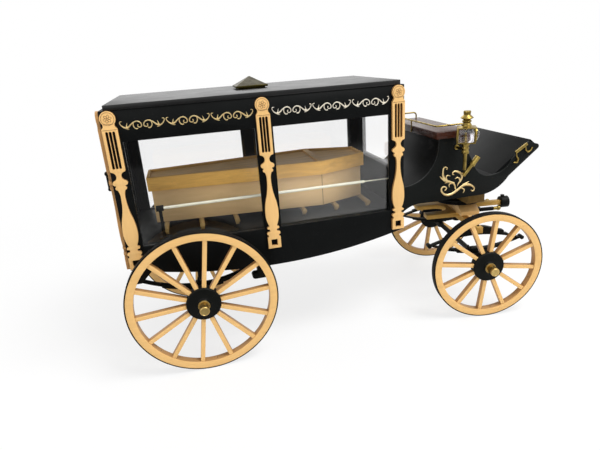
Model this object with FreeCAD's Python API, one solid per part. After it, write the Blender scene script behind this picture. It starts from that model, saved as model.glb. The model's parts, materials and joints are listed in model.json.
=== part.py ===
import FreeCAD, Part
import math
import os

V = FreeCAD.Vector
os.makedirs("parts", exist_ok=True)

# A small wood and brass model of a horse-drawn hearse, in millimetres.
# Working frame: +X forward, +Y to the vehicle's left, +Z up, x = 0 over the rear axle, z = 0 on the ground.
# save() moves every piece back by ORIGIN_X, so that the stored origin is under the middle of the whole model.

# ---- driving dimensions -----------------------------------------------------------------------
REAR_WHEEL_R = 50.0        # over the tyre
FRONT_WHEEL_R = 41.7       # over the tyre
WHEEL_WIDTH = 5.5
TYRE_T = 0.8
RIM_DEPTH = 5.0
HUB_R = 11.5
REAR_HALF_TRACK = 57.7     # to the rims' outer faces
FRONT_HALF_TRACK = 61.6
KING_PIN_X = 217.2
STEER_AT_REST = math.radians(-8.0)   # the front carriage stands turned a little to the right
STUB_R = 2.0
RUNNING_GAP = 0.05

BODY_X0 = -42.8
BODY_X1 = 147.4
BODY_MID_X = (BODY_X0 + BODY_X1) / 2
BODY_HALF_W = 44.6
WALL_T = 3.0
WALL_TOP_Z = 176.8
BELLY_Z = 63.8             # lowest point of the side walls' curved lower edge
BELLY_END_Z = 76.0
DECK_Z = 90.5
SILL_Z = 90.9
LINTEL_Z = 158.1
SIDE_WINDOWS = ((-32.3, 46.7), (58.2, 137.0))    # x from, x to
END_WINDOW_HALF_W = 25.6
END_SILL_Z = 120.5         # the front window stands above the driver's box
GLASS_T = 1.0
ROOF_T = 3.0
ROOF_OVERHANG = 0.5
ROOF_INSET_X = 3.0
FINIAL_HALF = 10.9
FINIAL_TOP_Z = 187.7

DOOR_HALF_W = 34.4
DOOR_Z0 = 84.0
DOOR_Z1 = 165.0
DOOR_GAP = 0.3
DOOR_T = 3.0
DOOR_WINDOW_HALF_W = 27.0
DOOR_WINDOW_Z = (93.0, 156.0)
HINGE_R = 1.1
HINGE_PIN_R = 0.5

BOX_HALF_W = 36.5          # the driver's box, over its side panels
BOX_SIDE_T = 2.0
BOX_FLOOR_Z = 90.0
SEAT_TOP_Z = 141.5
SEAT_T = 5.5
SEAT_X = (175.3, 201.0)
SEAT_HALF_W = 38.0
LAMP_X = 192.1
LAMP_Y = 48.3
LAMP_TURN = -30.0          # degrees from straight ahead, outwards

AXLE_HALF = 2.0            # half the side of the square axle bars
SLIM_HALF = 1.25           # the same, between the front springs
SLIM_HALF_L = 31.0
REAR_SPRING_Y = 37.0
FRONT_SPRING_Y = 37.0
SPRING_W = 4.0
FUTCHELL_Z = (66.5, 70.0)
BOLSTER_TOP_Z = 76.5
RING_R = (14.0, 18.5)
RING_T = 1.8
RING_GAP = 0.2

FRONT_REACH = (KING_PIN_X + FRONT_WHEEL_R * math.cos(STEER_AT_REST)
               - FRONT_HALF_TRACK * math.sin(STEER_AT_REST))
ORIGIN_X = (FRONT_REACH - REAR_WHEEL_R) / 2


# ---- helpers ----------------------------------------------------------------------------------
def box(x0, x1, y0, y1, z0, z1):
    return Part.makeBox(x1 - x0, y1 - y0, z1 - z0, V(x0, y0, z0))


def rod(r, start, end):
    axis = V(*end) - V(*start)
    return Part.makeCylinder(r, axis.Length, V(*start), axis)


def cone(r0, r1, start, end):
    axis = V(*end) - V(*start)
    return Part.makeCone(r0, r1, axis.Length, V(*start), axis)


def outline(steps):
    """A closed wire in the XZ plane. A step is (x, z) for a line, or (mid x, mid z, x, z) for an arc."""
    here = V(steps[0][0], 0, steps[0][1])
    first = here
    edges = []
    for step in steps[1:]:
        end = V(step[-2], 0, step[-1])
        if len(step) == 4:
            edges.append(Part.Arc(here, V(step[0], 0, step[1]), end).toShape())
        else:
            edges.append(Part.makeLine(here, end))
        here = end
    if (here - first).Length > 1e-6:
        edges.append(Part.makeLine(here, first))
    return Part.Wire(edges)


def plate(steps, y0, y1):
    """An outline in the XZ plane made solid between two y values."""
    face = Part.Face(outline(steps))
    face.translate(V(0, y0, 0))
    return face.extrude(V(0, y1 - y0, 0))


def turned(profile, x, y):
    """A turned piece on a vertical axis from (radius, z) pairs."""
    points = [V(0, 0, profile[0][1])] + [V(r, 0, z) for r, z in profile] + [V(0, 0, profile[-1][1])]
    face = Part.Face(Part.makePolygon(points + [points[0]]))
    solid = face.revolve(V(0, 0, 0), V(0, 0, 1), 360)
    solid.translate(V(x, y, 0))
    return solid


def bent_rod(r, points, bend):
    """A round rod along straight runs, with a bend of one radius at every corner."""
    pts = [V(*p) for p in points]
    here = pts[0]
    edges = []
    for before, corner, after in zip(pts, pts[1:], pts[2:]):
        back = (before - corner).normalize()
        ahead = (after - corner).normalize()
        half = back.getAngle(ahead) / 2
        start, end = corner + back * (bend / math.tan(half)), corner + ahead * (bend / math.tan(half))
        middle = corner + (back + ahead).normalize() * (bend / math.sin(half) - bend)
        edges += [Part.makeLine(here, start), Part.Arc(start, middle, end).toShape()]
        here = end
    edges.append(Part.makeLine(here, pts[-1]))
    section = Part.Wire([Part.makeCircle(r, pts[0], pts[1] - pts[0])])
    return Part.Wire(edges).makePipeShell([section], True, False)


def fuse(shapes):
    shapes = list(shapes)
    whole = shapes[0].multiFuse(shapes[1:]) if len(shapes) > 1 else shapes[0]
    return whole.removeSplitter()


def both_sides(shape):
    """The shape with its mirror image across the vehicle's middle plane."""
    return Part.makeCompound([shape, shape.mirror(V(0, 0, 0), V(0, 1, 0))])


def steered(shape):
    """From the front carriage's own frame (king pin at x = 0) to where it stands."""
    moved = shape.copy()
    moved.rotate(V(0, 0, 0), V(0, 0, 1), math.degrees(STEER_AT_REST))
    moved.translate(V(KING_PIN_X, 0, 0))
    return moved


def save(name, shape):
    moved = shape.copy()
    moved.translate(V(-ORIGIN_X, 0, 0))
    moved.exportStep("parts/%s.step" % name)


# ---- body shell -------------------------------------------------------------------------------
def belly(z_shift):
    """The lower edge of the body: one arc from end to end, as an outline's arc step."""
    return (BODY_MID_X, BELLY_Z + z_shift, BODY_X1, BELLY_END_Z + z_shift)


def side_wall():
    wall = plate([(BODY_X0, BELLY_END_Z), belly(0), (BODY_X1, WALL_TOP_Z), (BODY_X0, WALL_TOP_Z)],
                 -BODY_HALF_W, -BODY_HALF_W + WALL_T)
    for x0, x1 in SIDE_WINDOWS:
        wall = wall.cut(box(x0, x1, -BODY_HALF_W - 1, -BODY_HALF_W + WALL_T + 1, SILL_Z, LINTEL_Z))
    return wall


INNER_HALF_W = BODY_HALF_W - WALL_T
right_wall = side_wall()
save("side_wall_right", right_wall)
save("side_wall_left", right_wall.mirror(V(0, 0, 0), V(0, 1, 0)))

front_wall = box(BODY_X1 - WALL_T, BODY_X1, -INNER_HALF_W, INNER_HALF_W, BELLY_END_Z + 1, WALL_TOP_Z)
front_wall = front_wall.cut(box(BODY_X1 - WALL_T - 1, BODY_X1 + 1, -END_WINDOW_HALF_W, END_WINDOW_HALF_W,
                                END_SILL_Z, LINTEL_Z))
save("front_wall", front_wall)

HINGE_X = BODY_X0 - HINGE_R
HINGE_Y = DOOR_HALF_W
HINGE_ZS = (92.9, 124.5)
HINGE_H = 4.5
EAR_H = 1.6
KNUCKLE_GAP = 0.1


def rear_frame():
    """Frame round the door, with two hinge ears and their pins on its left post."""
    frame = box(BODY_X0, BODY_X0 + WALL_T, -INNER_HALF_W, INNER_HALF_W, BELLY_END_Z + 1, WALL_TOP_Z)
    frame = frame.cut(box(BODY_X0 - 1, BODY_X0 + WALL_T + 1, -DOOR_HALF_W, DOOR_HALF_W, DOOR_Z0, DOOR_Z1))
    pieces = [frame]
    for z in HINGE_ZS:
        pieces += [rod(HINGE_R, (HINGE_X, HINGE_Y, z), (HINGE_X, HINGE_Y, z + EAR_H)),
                   box(HINGE_X, BODY_X0, HINGE_Y, HINGE_Y + 0.9, z, z + EAR_H),
                   rod(HINGE_PIN_R, (HINGE_X, HINGE_Y, z), (HINGE_X, HINGE_Y, z + HINGE_H + 0.6))]
    return fuse(pieces)


save("rear_frame", rear_frame())

DECK_T = 2.0
DECK_X = (BODY_X0 + WALL_T, BODY_X1 - WALL_T)
save("deck", box(DECK_X[0], DECK_X[1], -INNER_HALF_W, INNER_HALF_W, DECK_Z - DECK_T, DECK_Z))

FLOOR_LIFT = 4.0
FLOOR_T = 2.0
underside = plate([(BODY_X0, BELLY_END_Z + FLOOR_LIFT), belly(FLOOR_LIFT),
                   (BODY_X1, BELLY_END_Z + FLOOR_LIFT + FLOOR_T),
                   (BODY_MID_X, BELLY_Z + FLOOR_LIFT + FLOOR_T, BODY_X0, BELLY_END_Z + FLOOR_LIFT + FLOOR_T)],
                  -INNER_HALF_W, INNER_HALF_W)
underside = underside.common(box(DECK_X[0], DECK_X[1], -BODY_HALF_W, BODY_HALF_W, 0, DECK_Z))
save("underside_board", underside)

roof = box(BODY_X0 + ROOF_INSET_X, BODY_X1 - ROOF_INSET_X, -BODY_HALF_W - ROOF_OVERHANG,
           BODY_HALF_W + ROOF_OVERHANG, WALL_TOP_Z, WALL_TOP_Z + ROOF_T)
save("roof_panel", roof)

ROOF_TOP_Z = WALL_TOP_Z + ROOF_T
PLINTH_H = 1.0
PYRAMID_EDGE = 1.4


def square_at(half, z):
    corners = [V(BODY_MID_X + sx * half, sy * half, z) for sx, sy in ((-1, -1), (1, -1), (1, 1), (-1, 1))]
    return Part.makePolygon(corners + [corners[0]])


def finial():
    eaves_z = ROOF_TOP_Z + PLINTH_H + PYRAMID_EDGE
    plinth = box(BODY_MID_X - 9.2, BODY_MID_X + 9.2, -9.2, 9.2, ROOF_TOP_Z, ROOF_TOP_Z + PLINTH_H)
    edge = box(BODY_MID_X - FINIAL_HALF, BODY_MID_X + FINIAL_HALF, -FINIAL_HALF, FINIAL_HALF,
               ROOF_TOP_Z + PLINTH_H, eaves_z)
    cap = Part.makeLoft([square_at(FINIAL_HALF - 0.6, eaves_z), square_at(0.5, FINIAL_TOP_Z)], True, True)
    return fuse([plinth, edge, cap])


save("roof_finial", finial())


# ---- glazing ----------------------------------------------------------------------------------
GLASS_LAP = 2.0


def glazing():
    y_in = -INNER_HALF_W
    panes = []
    for x0, x1 in SIDE_WINDOWS:
        pane = box(x0 - GLASS_LAP, x1 + GLASS_LAP, y_in, y_in + GLASS_T, DECK_Z, LINTEL_Z + GLASS_LAP)
        panes += [pane, pane.mirror(V(0, 0, 0), V(0, 1, 0))]
    panes.append(box(BODY_X1 - WALL_T - GLASS_T, BODY_X1 - WALL_T, -END_WINDOW_HALF_W - GLASS_LAP,
                     END_WINDOW_HALF_W + GLASS_LAP, END_SILL_Z - GLASS_LAP, LINTEL_Z + GLASS_LAP))
    return Part.makeCompound(panes)


save("window_glass", glazing())

# ---- pilasters --------------------------------------------------------------------------------
PILASTER_T = 2.0
PILASTER_XS = (-38.0, 52.5, 142.6)
REAR_PILASTER_Y = 39.8
ROSETTE_Z = 172.3
ROSETTE_R = 4.45
# half width, z: the sawn outline from the foot up to the rosette; a mid point makes an arc
BALUSTER = (
    # foot block, necking and the rings below the vase
    (4.4, 77.0), (4.4, 84.9), (3.5, 85.6), (3.5, 86.3), (3.6, 86.6), (4.5, 87.8, 3.2, 88.9), (2.3, 89.3),
    (2.3, 90.5), (3.0, 90.8), (4.05, 91.7, 3.1, 92.5),
    # vase and its neck
    (2.5, 93.0), (3.8, 96.6, 4.4, 101.5), (4.1, 107.0, 2.8, 113.0), (1.65, 119.0, 1.3, 125.0),
    (1.5, 127.6, 2.2, 129.8),
    # two rings, round notch, fluted block and the neck under the rosette
    (3.35, 131.0, 2.75, 132.0), (2.75, 132.6), (4.4, 134.2, 3.2, 135.6), (1.5, 138.6, 4.15, 141.1),
    (4.45, 141.7), (4.45, 166.3), (3.3, 168.0), (3.3, 170.4))


def baluster_outline():
    """Up the right-hand edge and down the left-hand one."""
    foot, top = BALUSTER[0], BALUSTER[-1]
    steps = [(-foot[0], foot[1])] + list(BALUSTER) + [(-top[0], top[1])]
    for i in range(len(BALUSTER) - 1, 0, -1):
        step, below = BALUSTER[i], BALUSTER[i - 1]
        end = (-below[-2], below[-1])
        steps.append((-step[0], step[1]) + end if len(step) == 4 else end)
    return steps


SLOT_HALF_W = 0.57
SLOT_PITCH = 2.05
SLOT_Z = (143.4, 164.8)
FOOT_HOLE_HALF_W = 2.1
FOOT_HOLE_Z = (79.0, 83.3)


def pilaster():
    """One sawn pilaster about x = 0, its back on y = 0 and its face at y = -PILASTER_T."""
    shape = plate(baluster_outline(), -PILASTER_T, 0)
    rosette = rod(ROSETTE_R, (0, -PILASTER_T, ROSETTE_Z), (0, 0, ROSETTE_Z))
    shape = fuse([shape, rosette])
    for x in (-SLOT_PITCH, 0.0, SLOT_PITCH):
        shape = shape.cut(box(x - SLOT_HALF_W, x + SLOT_HALF_W, -PILASTER_T - 1, 1, *SLOT_Z))
    return shape.cut(box(-FOOT_HOLE_HALF_W, FOOT_HOLE_HALF_W, -PILASTER_T - 1, 1, *FOOT_HOLE_Z))


def side_pilasters():
    one = pilaster()
    pieces = []
    for x in PILASTER_XS:
        right = one.copy()
        right.translate(V(x, -BODY_HALF_W, 0))
        pieces += [right, right.mirror(V(0, 0, 0), V(0, 1, 0))]
    return Part.makeCompound(pieces)


def rear_pilasters():
    one = pilaster()
    one.rotate(V(0, 0, 0), V(0, 0, 1), -90)
    one.translate(V(BODY_X0, -REAR_PILASTER_Y, 0))
    return both_sides(one)


save("side_pilasters", side_pilasters())
save("rear_pilasters", rear_pilasters())

# ---- coffin and its bier ----------------------------------------------------------------------
COFFIN_FOOT_X = -24.0
COFFIN_SHOULDER_X = 94.0
COFFIN_HEAD_X = 127.7
COFFIN_HALF = {"foot": 11.7, "shoulder": 23.7, "head": 11.0}
COFFIN_Z = (95.4, 118.6)
LID_TOP_Z = 128.2
LID_LAP = 2.0
LID_RIM = 2.2
LID_SUNK = 1.6


def coffin_ring(grow, z):
    foot, shoulder, head = (COFFIN_HALF[k] + grow for k in ("foot", "shoulder", "head"))
    xs = (COFFIN_FOOT_X - grow, COFFIN_SHOULDER_X, COFFIN_HEAD_X + grow)
    pts = [V(xs[0], -foot, z), V(xs[1], -shoulder, z), V(xs[2], -head, z),
           V(xs[2], head, z), V(xs[1], shoulder, z), V(xs[0], foot, z)]
    return Part.Face(Part.makePolygon(pts + [pts[0]]))


def coffin_block(grow, z0, z1):
    return coffin_ring(grow, z0).extrude(V(0, 0, z1 - z0))


save("coffin_box", coffin_block(0, COFFIN_Z[0], COFFIN_Z[1]))

lid = coffin_block(LID_LAP, COFFIN_Z[1], LID_TOP_Z)
lid = lid.cut(coffin_block(LID_LAP - LID_RIM, LID_TOP_Z - LID_SUNK, LID_TOP_Z + 1))
batten = box(92.0, 96.2, -25.0, 25.0, LID_TOP_Z - LID_SUNK, LID_TOP_Z)
save("coffin_lid", fuse([lid, batten.common(coffin_block(LID_LAP, COFFIN_Z[1], LID_TOP_Z))]))

ROLLER_COUNT = 7
ROLLER_PITCH = 24.2
ROLLER_X0 = -17.6
ROLLER_R = 1.7
ROLLER_HALF_L = 27.0


def bier_rollers():
    """Turned rods across the deck, each on two small feet."""
    z = COFFIN_Z[0] - ROLLER_R
    pieces = []
    for i in range(ROLLER_COUNT):
        x = ROLLER_X0 + i * ROLLER_PITCH
        feet = [box(x - 1.2, x + 1.2, y - 1.0, y + 1.0, DECK_Z, z) for y in (-24.0, 24.0)]
        pieces.append(fuse([rod(ROLLER_R, (x, -ROLLER_HALF_L, z), (x, ROLLER_HALF_L, z))] + feet))
    return Part.makeCompound(pieces)


save("bier_rollers", bier_rollers())

RAIL_Y = 32.0
RAIL_Z = 111.3
RAIL_R = 1.0
RAIL_PIN_R = 0.45          # the thin pin that runs on from the rail to the front wall
RAIL_END_X = 122.8
RAIL_POST_XS = (-19.0, 53.0)
coffin_rail = fuse([
    rod(RAIL_R, (RAIL_POST_XS[0], -RAIL_Y, RAIL_Z), (RAIL_END_X, -RAIL_Y, RAIL_Z)),
    rod(RAIL_PIN_R, (RAIL_END_X - 1.0, -RAIL_Y, RAIL_Z), (BODY_X1 - WALL_T, -RAIL_Y, RAIL_Z))])


def rail_posts():
    posts = []
    for x in RAIL_POST_XS:
        post = box(x - 1.0, x + 1.0, -RAIL_Y - 1.0, -RAIL_Y + 1.0, DECK_Z, RAIL_Z + 1.6)
        head = box(x - 2.4, x + 2.4, -RAIL_Y - 1.6, -RAIL_Y + 1.6, RAIL_Z - 1.6, RAIL_Z + 1.6)
        foot = box(x - 3.0, x + 3.0, -RAIL_Y - 2.2, -RAIL_Y + 2.2, DECK_Z, DECK_Z + 1.0)
        posts.append(fuse([post, head, foot]))
    return both_sides(Part.makeCompound([post.cut(coffin_rail) for post in posts]))


save("rail_posts", rail_posts())
save("coffin_rails", both_sides(coffin_rail))

# ---- rear door --------------------------------------------------------------------------------
def rear_door():
    """Door board with its window cut and a hinge knuckle above each ear of the frame."""
    y1 = DOOR_HALF_W - DOOR_GAP
    door = box(BODY_X0, BODY_X0 + DOOR_T, -y1, y1, DOOR_Z0 + DOOR_GAP, DOOR_Z1 - DOOR_GAP)
    opening = box(BODY_X0 - 1, BODY_X0 + DOOR_T + 1, -DOOR_WINDOW_HALF_W, DOOR_WINDOW_HALF_W, *DOOR_WINDOW_Z)
    pieces = [door.cut(opening)]
    for ear_z in HINGE_ZS:
        z0, z1 = ear_z + EAR_H + KNUCKLE_GAP, ear_z + HINGE_H
        knuckle = fuse([rod(HINGE_R, (HINGE_X, HINGE_Y, z0), (HINGE_X, HINGE_Y, z1)),
                        box(HINGE_X, BODY_X0, y1 - 2.0, y1, z0, z1)])
        pin_hole = rod(HINGE_PIN_R + RUNNING_GAP, (HINGE_X, HINGE_Y, z0 - 1), (HINGE_X, HINGE_Y, z1 + 1))
        pieces.append(knuckle.cut(pin_hole))
    return fuse(pieces)


save("rear_door", rear_door())
save("rear_door_glass", box(BODY_X0 + 1.0, BODY_X0 + 1.0 + GLASS_T, -DOOR_WINDOW_HALF_W, DOOR_WINDOW_HALF_W,
                            *DOOR_WINDOW_Z))

HANDLE_Y = -30.6
HANDLE_Z = (127.5, 137.5)
handle = fuse([
    rod(0.9, (BODY_X0, HANDLE_Y, HANDLE_Z[1] - 1.5), (BODY_X0 - 4.2, HANDLE_Y, HANDLE_Z[1] - 1.5)),
    rod(1.9, (BODY_X0, HANDLE_Y, HANDLE_Z[1] - 1.5), (BODY_X0 - 0.8, HANDLE_Y, HANDLE_Z[1] - 1.5)),
    rod(1.0, (BODY_X0 - 4.2, HANDLE_Y, HANDLE_Z[0]), (BODY_X0 - 4.2, HANDLE_Y, HANDLE_Z[1])),
    Part.makeSphere(1.6, V(BODY_X0 - 4.2, HANDLE_Y, HANDLE_Z[1])),
    Part.makeSphere(1.3, V(BODY_X0 - 4.2, HANDLE_Y, HANDLE_Z[0]))])
save("door_handle", handle)

# ---- driver's box -----------------------------------------------------------------------------
SEAT_UNDER_Z = SEAT_TOP_Z - SEAT_T
# the box's underside from the body forward, shared by its side panels and its floor
BOX_UNDERSIDE = [(BODY_X1, 81.0), (154.0, 87.2, 163.0, BOX_FLOOR_Z), (213.0, BOX_FLOOR_Z),
                 (227.5, 93.3, 237.5, 102.0), (261.0, 120.6), (261.5, 123.0, 259.6, 124.2)]
BOX_PROFILE = BOX_UNDERSIDE + [
    (252.8, 126.6), (239.6, 114.6), (231.6, 106.6, 224.0, 104.6), (213.0, 106.8, 207.2, 115.0),
    (201.0, 127.0, 198.0, SEAT_UNDER_Z)]
# the quarter-round scoop behind the seat: the front window looks out over it
SCOOP_R = 27.5
SCOOP_CENTRE = (151.5, 131.5)


def scoop(radius):
    """From the seat's underside down the hollow curve to the front wall."""
    cx, cz = SCOOP_CENTRE
    slant = radius * 0.5 ** 0.5
    return [(cx + radius, SEAT_UNDER_Z), (cx + radius, cz),
            (cx + slant, cz - slant, cx, cz - radius), (BODY_X1, cz - radius)]


box_right = plate(BOX_PROFILE + scoop(SCOOP_R), -BOX_HALF_W, -BOX_HALF_W + BOX_SIDE_T)
save("driver_side_right", box_right)
save("driver_side_left", box_right.mirror(V(0, 0, 0), V(0, 1, 0)))

BOX_IN = BOX_HALF_W - BOX_SIDE_T
BOARD_T = 2.0
RISER_X = 198.0
FOOT_FLOOR_Z = 104.0
TOE_FOOT = (225.5, FOOT_FLOOR_Z)
TOE_TOP = (255.4, 127.6)


def toe_board():
    """Floor, sloping toe board and the curved underside, one bent board between the side panels."""
    return plate(BOX_UNDERSIDE + [
        TOE_TOP, (254.0, 126.0), TOE_FOOT, (RISER_X, FOOT_FLOOR_Z), (RISER_X, FOOT_FLOOR_Z - BOARD_T),
        (222.0, FOOT_FLOOR_Z - BOARD_T), (222.0, 97.0), (213.0, 92.0), (163.0, 92.0),
        (153.0, 89.2, BODY_X1, 83.4)], -BOX_IN, BOX_IN)


save("toe_board", toe_board())
save("seat_board", box(SEAT_X[0], SEAT_X[1], -SEAT_HALF_W, SEAT_HALF_W, SEAT_UNDER_Z, SEAT_TOP_Z))


def seat_box():
    """Front riser, the strip the seat rests on and the curved board of the scoop, in one."""
    cx, cz = SCOOP_CENTRE
    back = SCOOP_R + BOARD_T
    slant = back * 0.5 ** 0.5
    return plate([(RISER_X, FOOT_FLOOR_Z), (RISER_X + BOARD_T, FOOT_FLOOR_Z),
                  (RISER_X + BOARD_T, SEAT_UNDER_Z)] + scoop(SCOOP_R) + [
        (BODY_X1, cz - back), (cx, cz - back), (cx + slant, cz - slant, cx + back, cz),
        (cx + back, SEAT_UNDER_Z - BOARD_T), (RISER_X, SEAT_UNDER_Z - BOARD_T)], -BOX_IN, BOX_IN)


save("seat_box", seat_box())

SEAT_RAIL_R = 0.6
SEAT_RAIL_Z = 145.7
SEAT_RAIL_OUT = 0.7        # the rail's centre line outside the board's rear face and ends
SEAT_RAIL_FRONT_X = 198.0
SEAT_RAIL_END_Z = 136.8
SEAT_RAIL_BEND = 2.6
SEAT_STUD_R = 0.45
SEAT_STUD_Z = 138.0


def seat_rail():
    """One rod bent round behind the seat, its ends turned down beside the board, and a post behind."""
    y = SEAT_HALF_W + SEAT_RAIL_OUT
    x = SEAT_X[0] - SEAT_RAIL_OUT
    front = SEAT_RAIL_FRONT_X
    corners = [(front, -y, SEAT_RAIL_END_Z), (front, -y, SEAT_RAIL_Z), (x, -y, SEAT_RAIL_Z),
               (x, y, SEAT_RAIL_Z), (front, y, SEAT_RAIL_Z), (front, y, SEAT_RAIL_END_Z)]
    pieces = [bent_rod(SEAT_RAIL_R, corners, SEAT_RAIL_BEND)]
    for side, board in ((-y, -SEAT_HALF_W), (y, SEAT_HALF_W)):
        pieces.append(rod(SEAT_STUD_R, (front, side, SEAT_STUD_Z), (front, board, SEAT_STUD_Z)))
    pieces.append(rod(SEAT_STUD_R + 0.05, (x, 0, SEAT_RAIL_END_Z), (x, 0, SEAT_RAIL_Z)))
    pieces.append(rod(SEAT_STUD_R, (x, 0, SEAT_STUD_Z), (SEAT_X[0], 0, SEAT_STUD_Z)))
    return fuse(pieces)


save("seat_rail", seat_rail())

# radius, z of the lamp's turned brass: stem, bead and cup below the glass, cap, bell and knob above it
LAMP_STEM = ((1.15, 114.6), (1.35, 126.1), (2.6, 126.7), (2.6, 127.7), (2.1, 128.9), (2.55, 130.2),
             (2.1, 131.4), (2.8, 133.0), (2.95, 134.3))
LAMP_CAP = ((5.2, 145.1), (3.5, 145.7), (3.3, 146.6), (2.45, 148.0), (3.3, 148.9), (2.3, 150.0),
            (3.45, 150.6), (4.4, 151.2), (2.65, 152.9), (2.3, 153.3), (2.55, 155.3), (2.3, 155.9))
LAMP_BURNER = ((1.9, 135.0), (1.9, 135.6), (0.9, 136.4), (0.9, 138.2), (0.5, 138.2), (0.3, 140.0))
LAMP_HALF = 6.2            # half the cage, over its corner bars
LAMP_BAR = 1.2
LAMP_PLATE_T = 0.7
LAMP_GLASS_Z = (135.0, 144.4)
LAMP_GLASS_HALF = 5.0
LAMP_GLASS_T = 0.5
LAMP_MID_Z = (LAMP_GLASS_Z[0] + LAMP_GLASS_Z[1]) / 2
LAMP_LENS_R = 4.4
LAMP_LENS_BULGE = 2.5      # beyond the cage's front face
LENS_RING_R = (4.5, 5.2)
LENS_RING_FRONT = 0.7
BRACKET_Z = 129.0
BRACKET_ARM_R = 0.9


def lamp_placed(shape):
    """From the lamp's own frame, its front towards +X, to its place beside the seat."""
    placed = shape.copy()
    placed.rotate(V(0, 0, 0), V(0, 0, 1), LAMP_TURN)
    placed.translate(V(LAMP_X, -LAMP_Y, 0))
    return placed


def lamp_frame():
    """The brass cage with its stem, cap, burner and lens ring, and the bracket from the box's side."""
    z0, z1 = LAMP_GLASS_Z
    inner = LAMP_HALF - LAMP_BAR
    pieces = [turned(LAMP_STEM, 0, 0), turned(LAMP_CAP, 0, 0), turned(LAMP_BURNER, 0, 0)]
    for x in (-LAMP_HALF, inner):
        for y in (-LAMP_HALF, inner):
            pieces.append(box(x, x + LAMP_BAR, y, y + LAMP_BAR, z0, z1))
    for z in (z0 - LAMP_PLATE_T, z1):
        pieces.append(box(-LAMP_HALF, LAMP_HALF, -LAMP_HALF, LAMP_HALF, z, z + LAMP_PLATE_T))
    ring_back, ring_front = inner + 0.2, LAMP_HALF + LENS_RING_FRONT
    lens_ring = rod(LENS_RING_R[1], (ring_back, 0, LAMP_MID_Z), (ring_front, 0, LAMP_MID_Z))
    lens_ring = lens_ring.common(box(0, 10, -10, 10, z0 - LAMP_PLATE_T, z1 + LAMP_PLATE_T))
    pieces.append(lens_ring.cut(rod(LENS_RING_R[0], (0, 0, LAMP_MID_Z), (10, 0, LAMP_MID_Z))))
    arm = rod(BRACKET_ARM_R, (LAMP_X, -LAMP_Y, BRACKET_Z), (LAMP_X, -BOX_HALF_W, BRACKET_Z))
    foot = rod(1.8, (LAMP_X, -BOX_HALF_W - 0.8, BRACKET_Z), (LAMP_X, -BOX_HALF_W, BRACKET_Z))
    return fuse([lamp_placed(fuse(pieces)), arm, foot])


def dome(chord_r, height):
    """A slice of a ball on the plane x = 0, bulging towards +X."""
    ball_r = (chord_r ** 2 + height ** 2) / (2 * height)
    ball = Part.makeSphere(ball_r, V(height - ball_r, 0, 0))
    return ball.common(box(0, height + 1, -chord_r - 1, chord_r + 1, -chord_r - 1, chord_r + 1))


def lamp_glass():
    """Four panes, the bulging lens in front and a shallow dome of glass on the outer side."""
    half, thin = LAMP_GLASS_HALF, LAMP_GLASS_HALF - LAMP_GLASS_T
    panes = box(-half, half, -half, half, *LAMP_GLASS_Z).cut(box(-thin, thin, -thin, thin, *LAMP_GLASS_Z))
    stalk = rod(LAMP_LENS_R, (half, 0, LAMP_MID_Z), (LAMP_HALF, 0, LAMP_MID_Z))
    lens = dome(LAMP_LENS_R, LAMP_LENS_BULGE).translated(V(LAMP_HALF, 0, LAMP_MID_Z))
    side = dome(LAMP_LENS_R, LAMP_HALF - LAMP_GLASS_HALF - 0.2)
    side.rotate(V(0, 0, 0), V(0, 0, 1), -90)
    side.translate(V(0, -half, LAMP_MID_Z))
    return lamp_placed(fuse([panes, stalk, lens, side]))


save("lamp_frames", lamp_frame())
save("lamp_glass", lamp_glass())


def whip_socket():
    """Raked tube with a collar and a wider cup, held off the panel by one stud."""
    y = -BOX_HALF_W - 2.5
    tube = rod(1.3, (197.5, y, 107.5), (205.0, y, 116.4))
    cup = rod(2.0, (204.2, y, 115.4), (208.6, y, 120.6))
    collar = rod(2.3, (203.6, y, 114.7), (204.6, y, 115.9))
    stud = rod(0.9, (199.0, y, 109.2), (199.0, -BOX_HALF_W, 109.2))
    return fuse([tube, cup, collar, stud])


save("whip_socket", whip_socket())


GRAB_BAR = ((241.2, 119.6), (250.4, 125.4))
GRAB_BAR_HALF_W = 0.9
GRAB_BAR_T = 1.2
GRAB_WIRE_R = 0.55
GRAB_BEND = 0.7
GRAB_STAND_OFF = 0.9
# x, z along the two curled feet, from the bar outwards
GRAB_FEET = (
    ((241.6, 119.8), (242.1, 116.9), (244.0, 114.3), (243.2, 111.7), (240.1, 112.3)),
    ((249.0, 124.4), (249.7, 120.7), (251.8, 118.7), (254.3, 120.2), (255.1, 122.2)))
GRAB_STUDS = ((243.5, 113.2), (251.8, 119.2))


def grab_rail():
    """A flat bar over the panel's edge on two curled feet, which two studs hold off the panel."""
    (x0, z0), (x1, z1) = GRAB_BAR
    run = math.hypot(x1 - x0, z1 - z0)
    nx, nz = -(z1 - z0) / run * GRAB_BAR_HALF_W, (x1 - x0) / run * GRAB_BAR_HALF_W
    y = -BOX_HALF_W - GRAB_STAND_OFF
    pieces = [plate([(x0 - nx, z0 - nz), (x1 - nx, z1 - nz), (x1 + nx, z1 + nz), (x0 + nx, z0 + nz)],
                    y - GRAB_BAR_T / 2, y + GRAB_BAR_T / 2)]
    for foot in GRAB_FEET:
        pieces.append(bent_rod(GRAB_WIRE_R, [(x, y, z) for x, z in foot], GRAB_BEND))
    for x, z in GRAB_STUDS:
        pieces.append(rod(0.7, (x, y, z), (x, -BOX_HALF_W, z)))
    return fuse(pieces)


save("grab_rails", both_sides(grab_rail()))

# ---- fixed half of the turntable --------------------------------------------------------------
UPPER_RING_Z = BOLSTER_TOP_Z + RING_T + RING_GAP
TRANSOM_X = (-7.0, 8.0)
TRANSOM_HALF_L = 26.0
PIN_FOOT_Z = 58.0


def ring(z):
    outer = rod(RING_R[1], (0, 0, z), (0, 0, z + RING_T))
    return outer.cut(rod(RING_R[0], (0, 0, z - 1), (0, 0, z + RING_T + 1)))


def at_pin(shape):
    moved = shape.copy()
    moved.translate(V(KING_PIN_X, 0, 0))
    return moved


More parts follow.
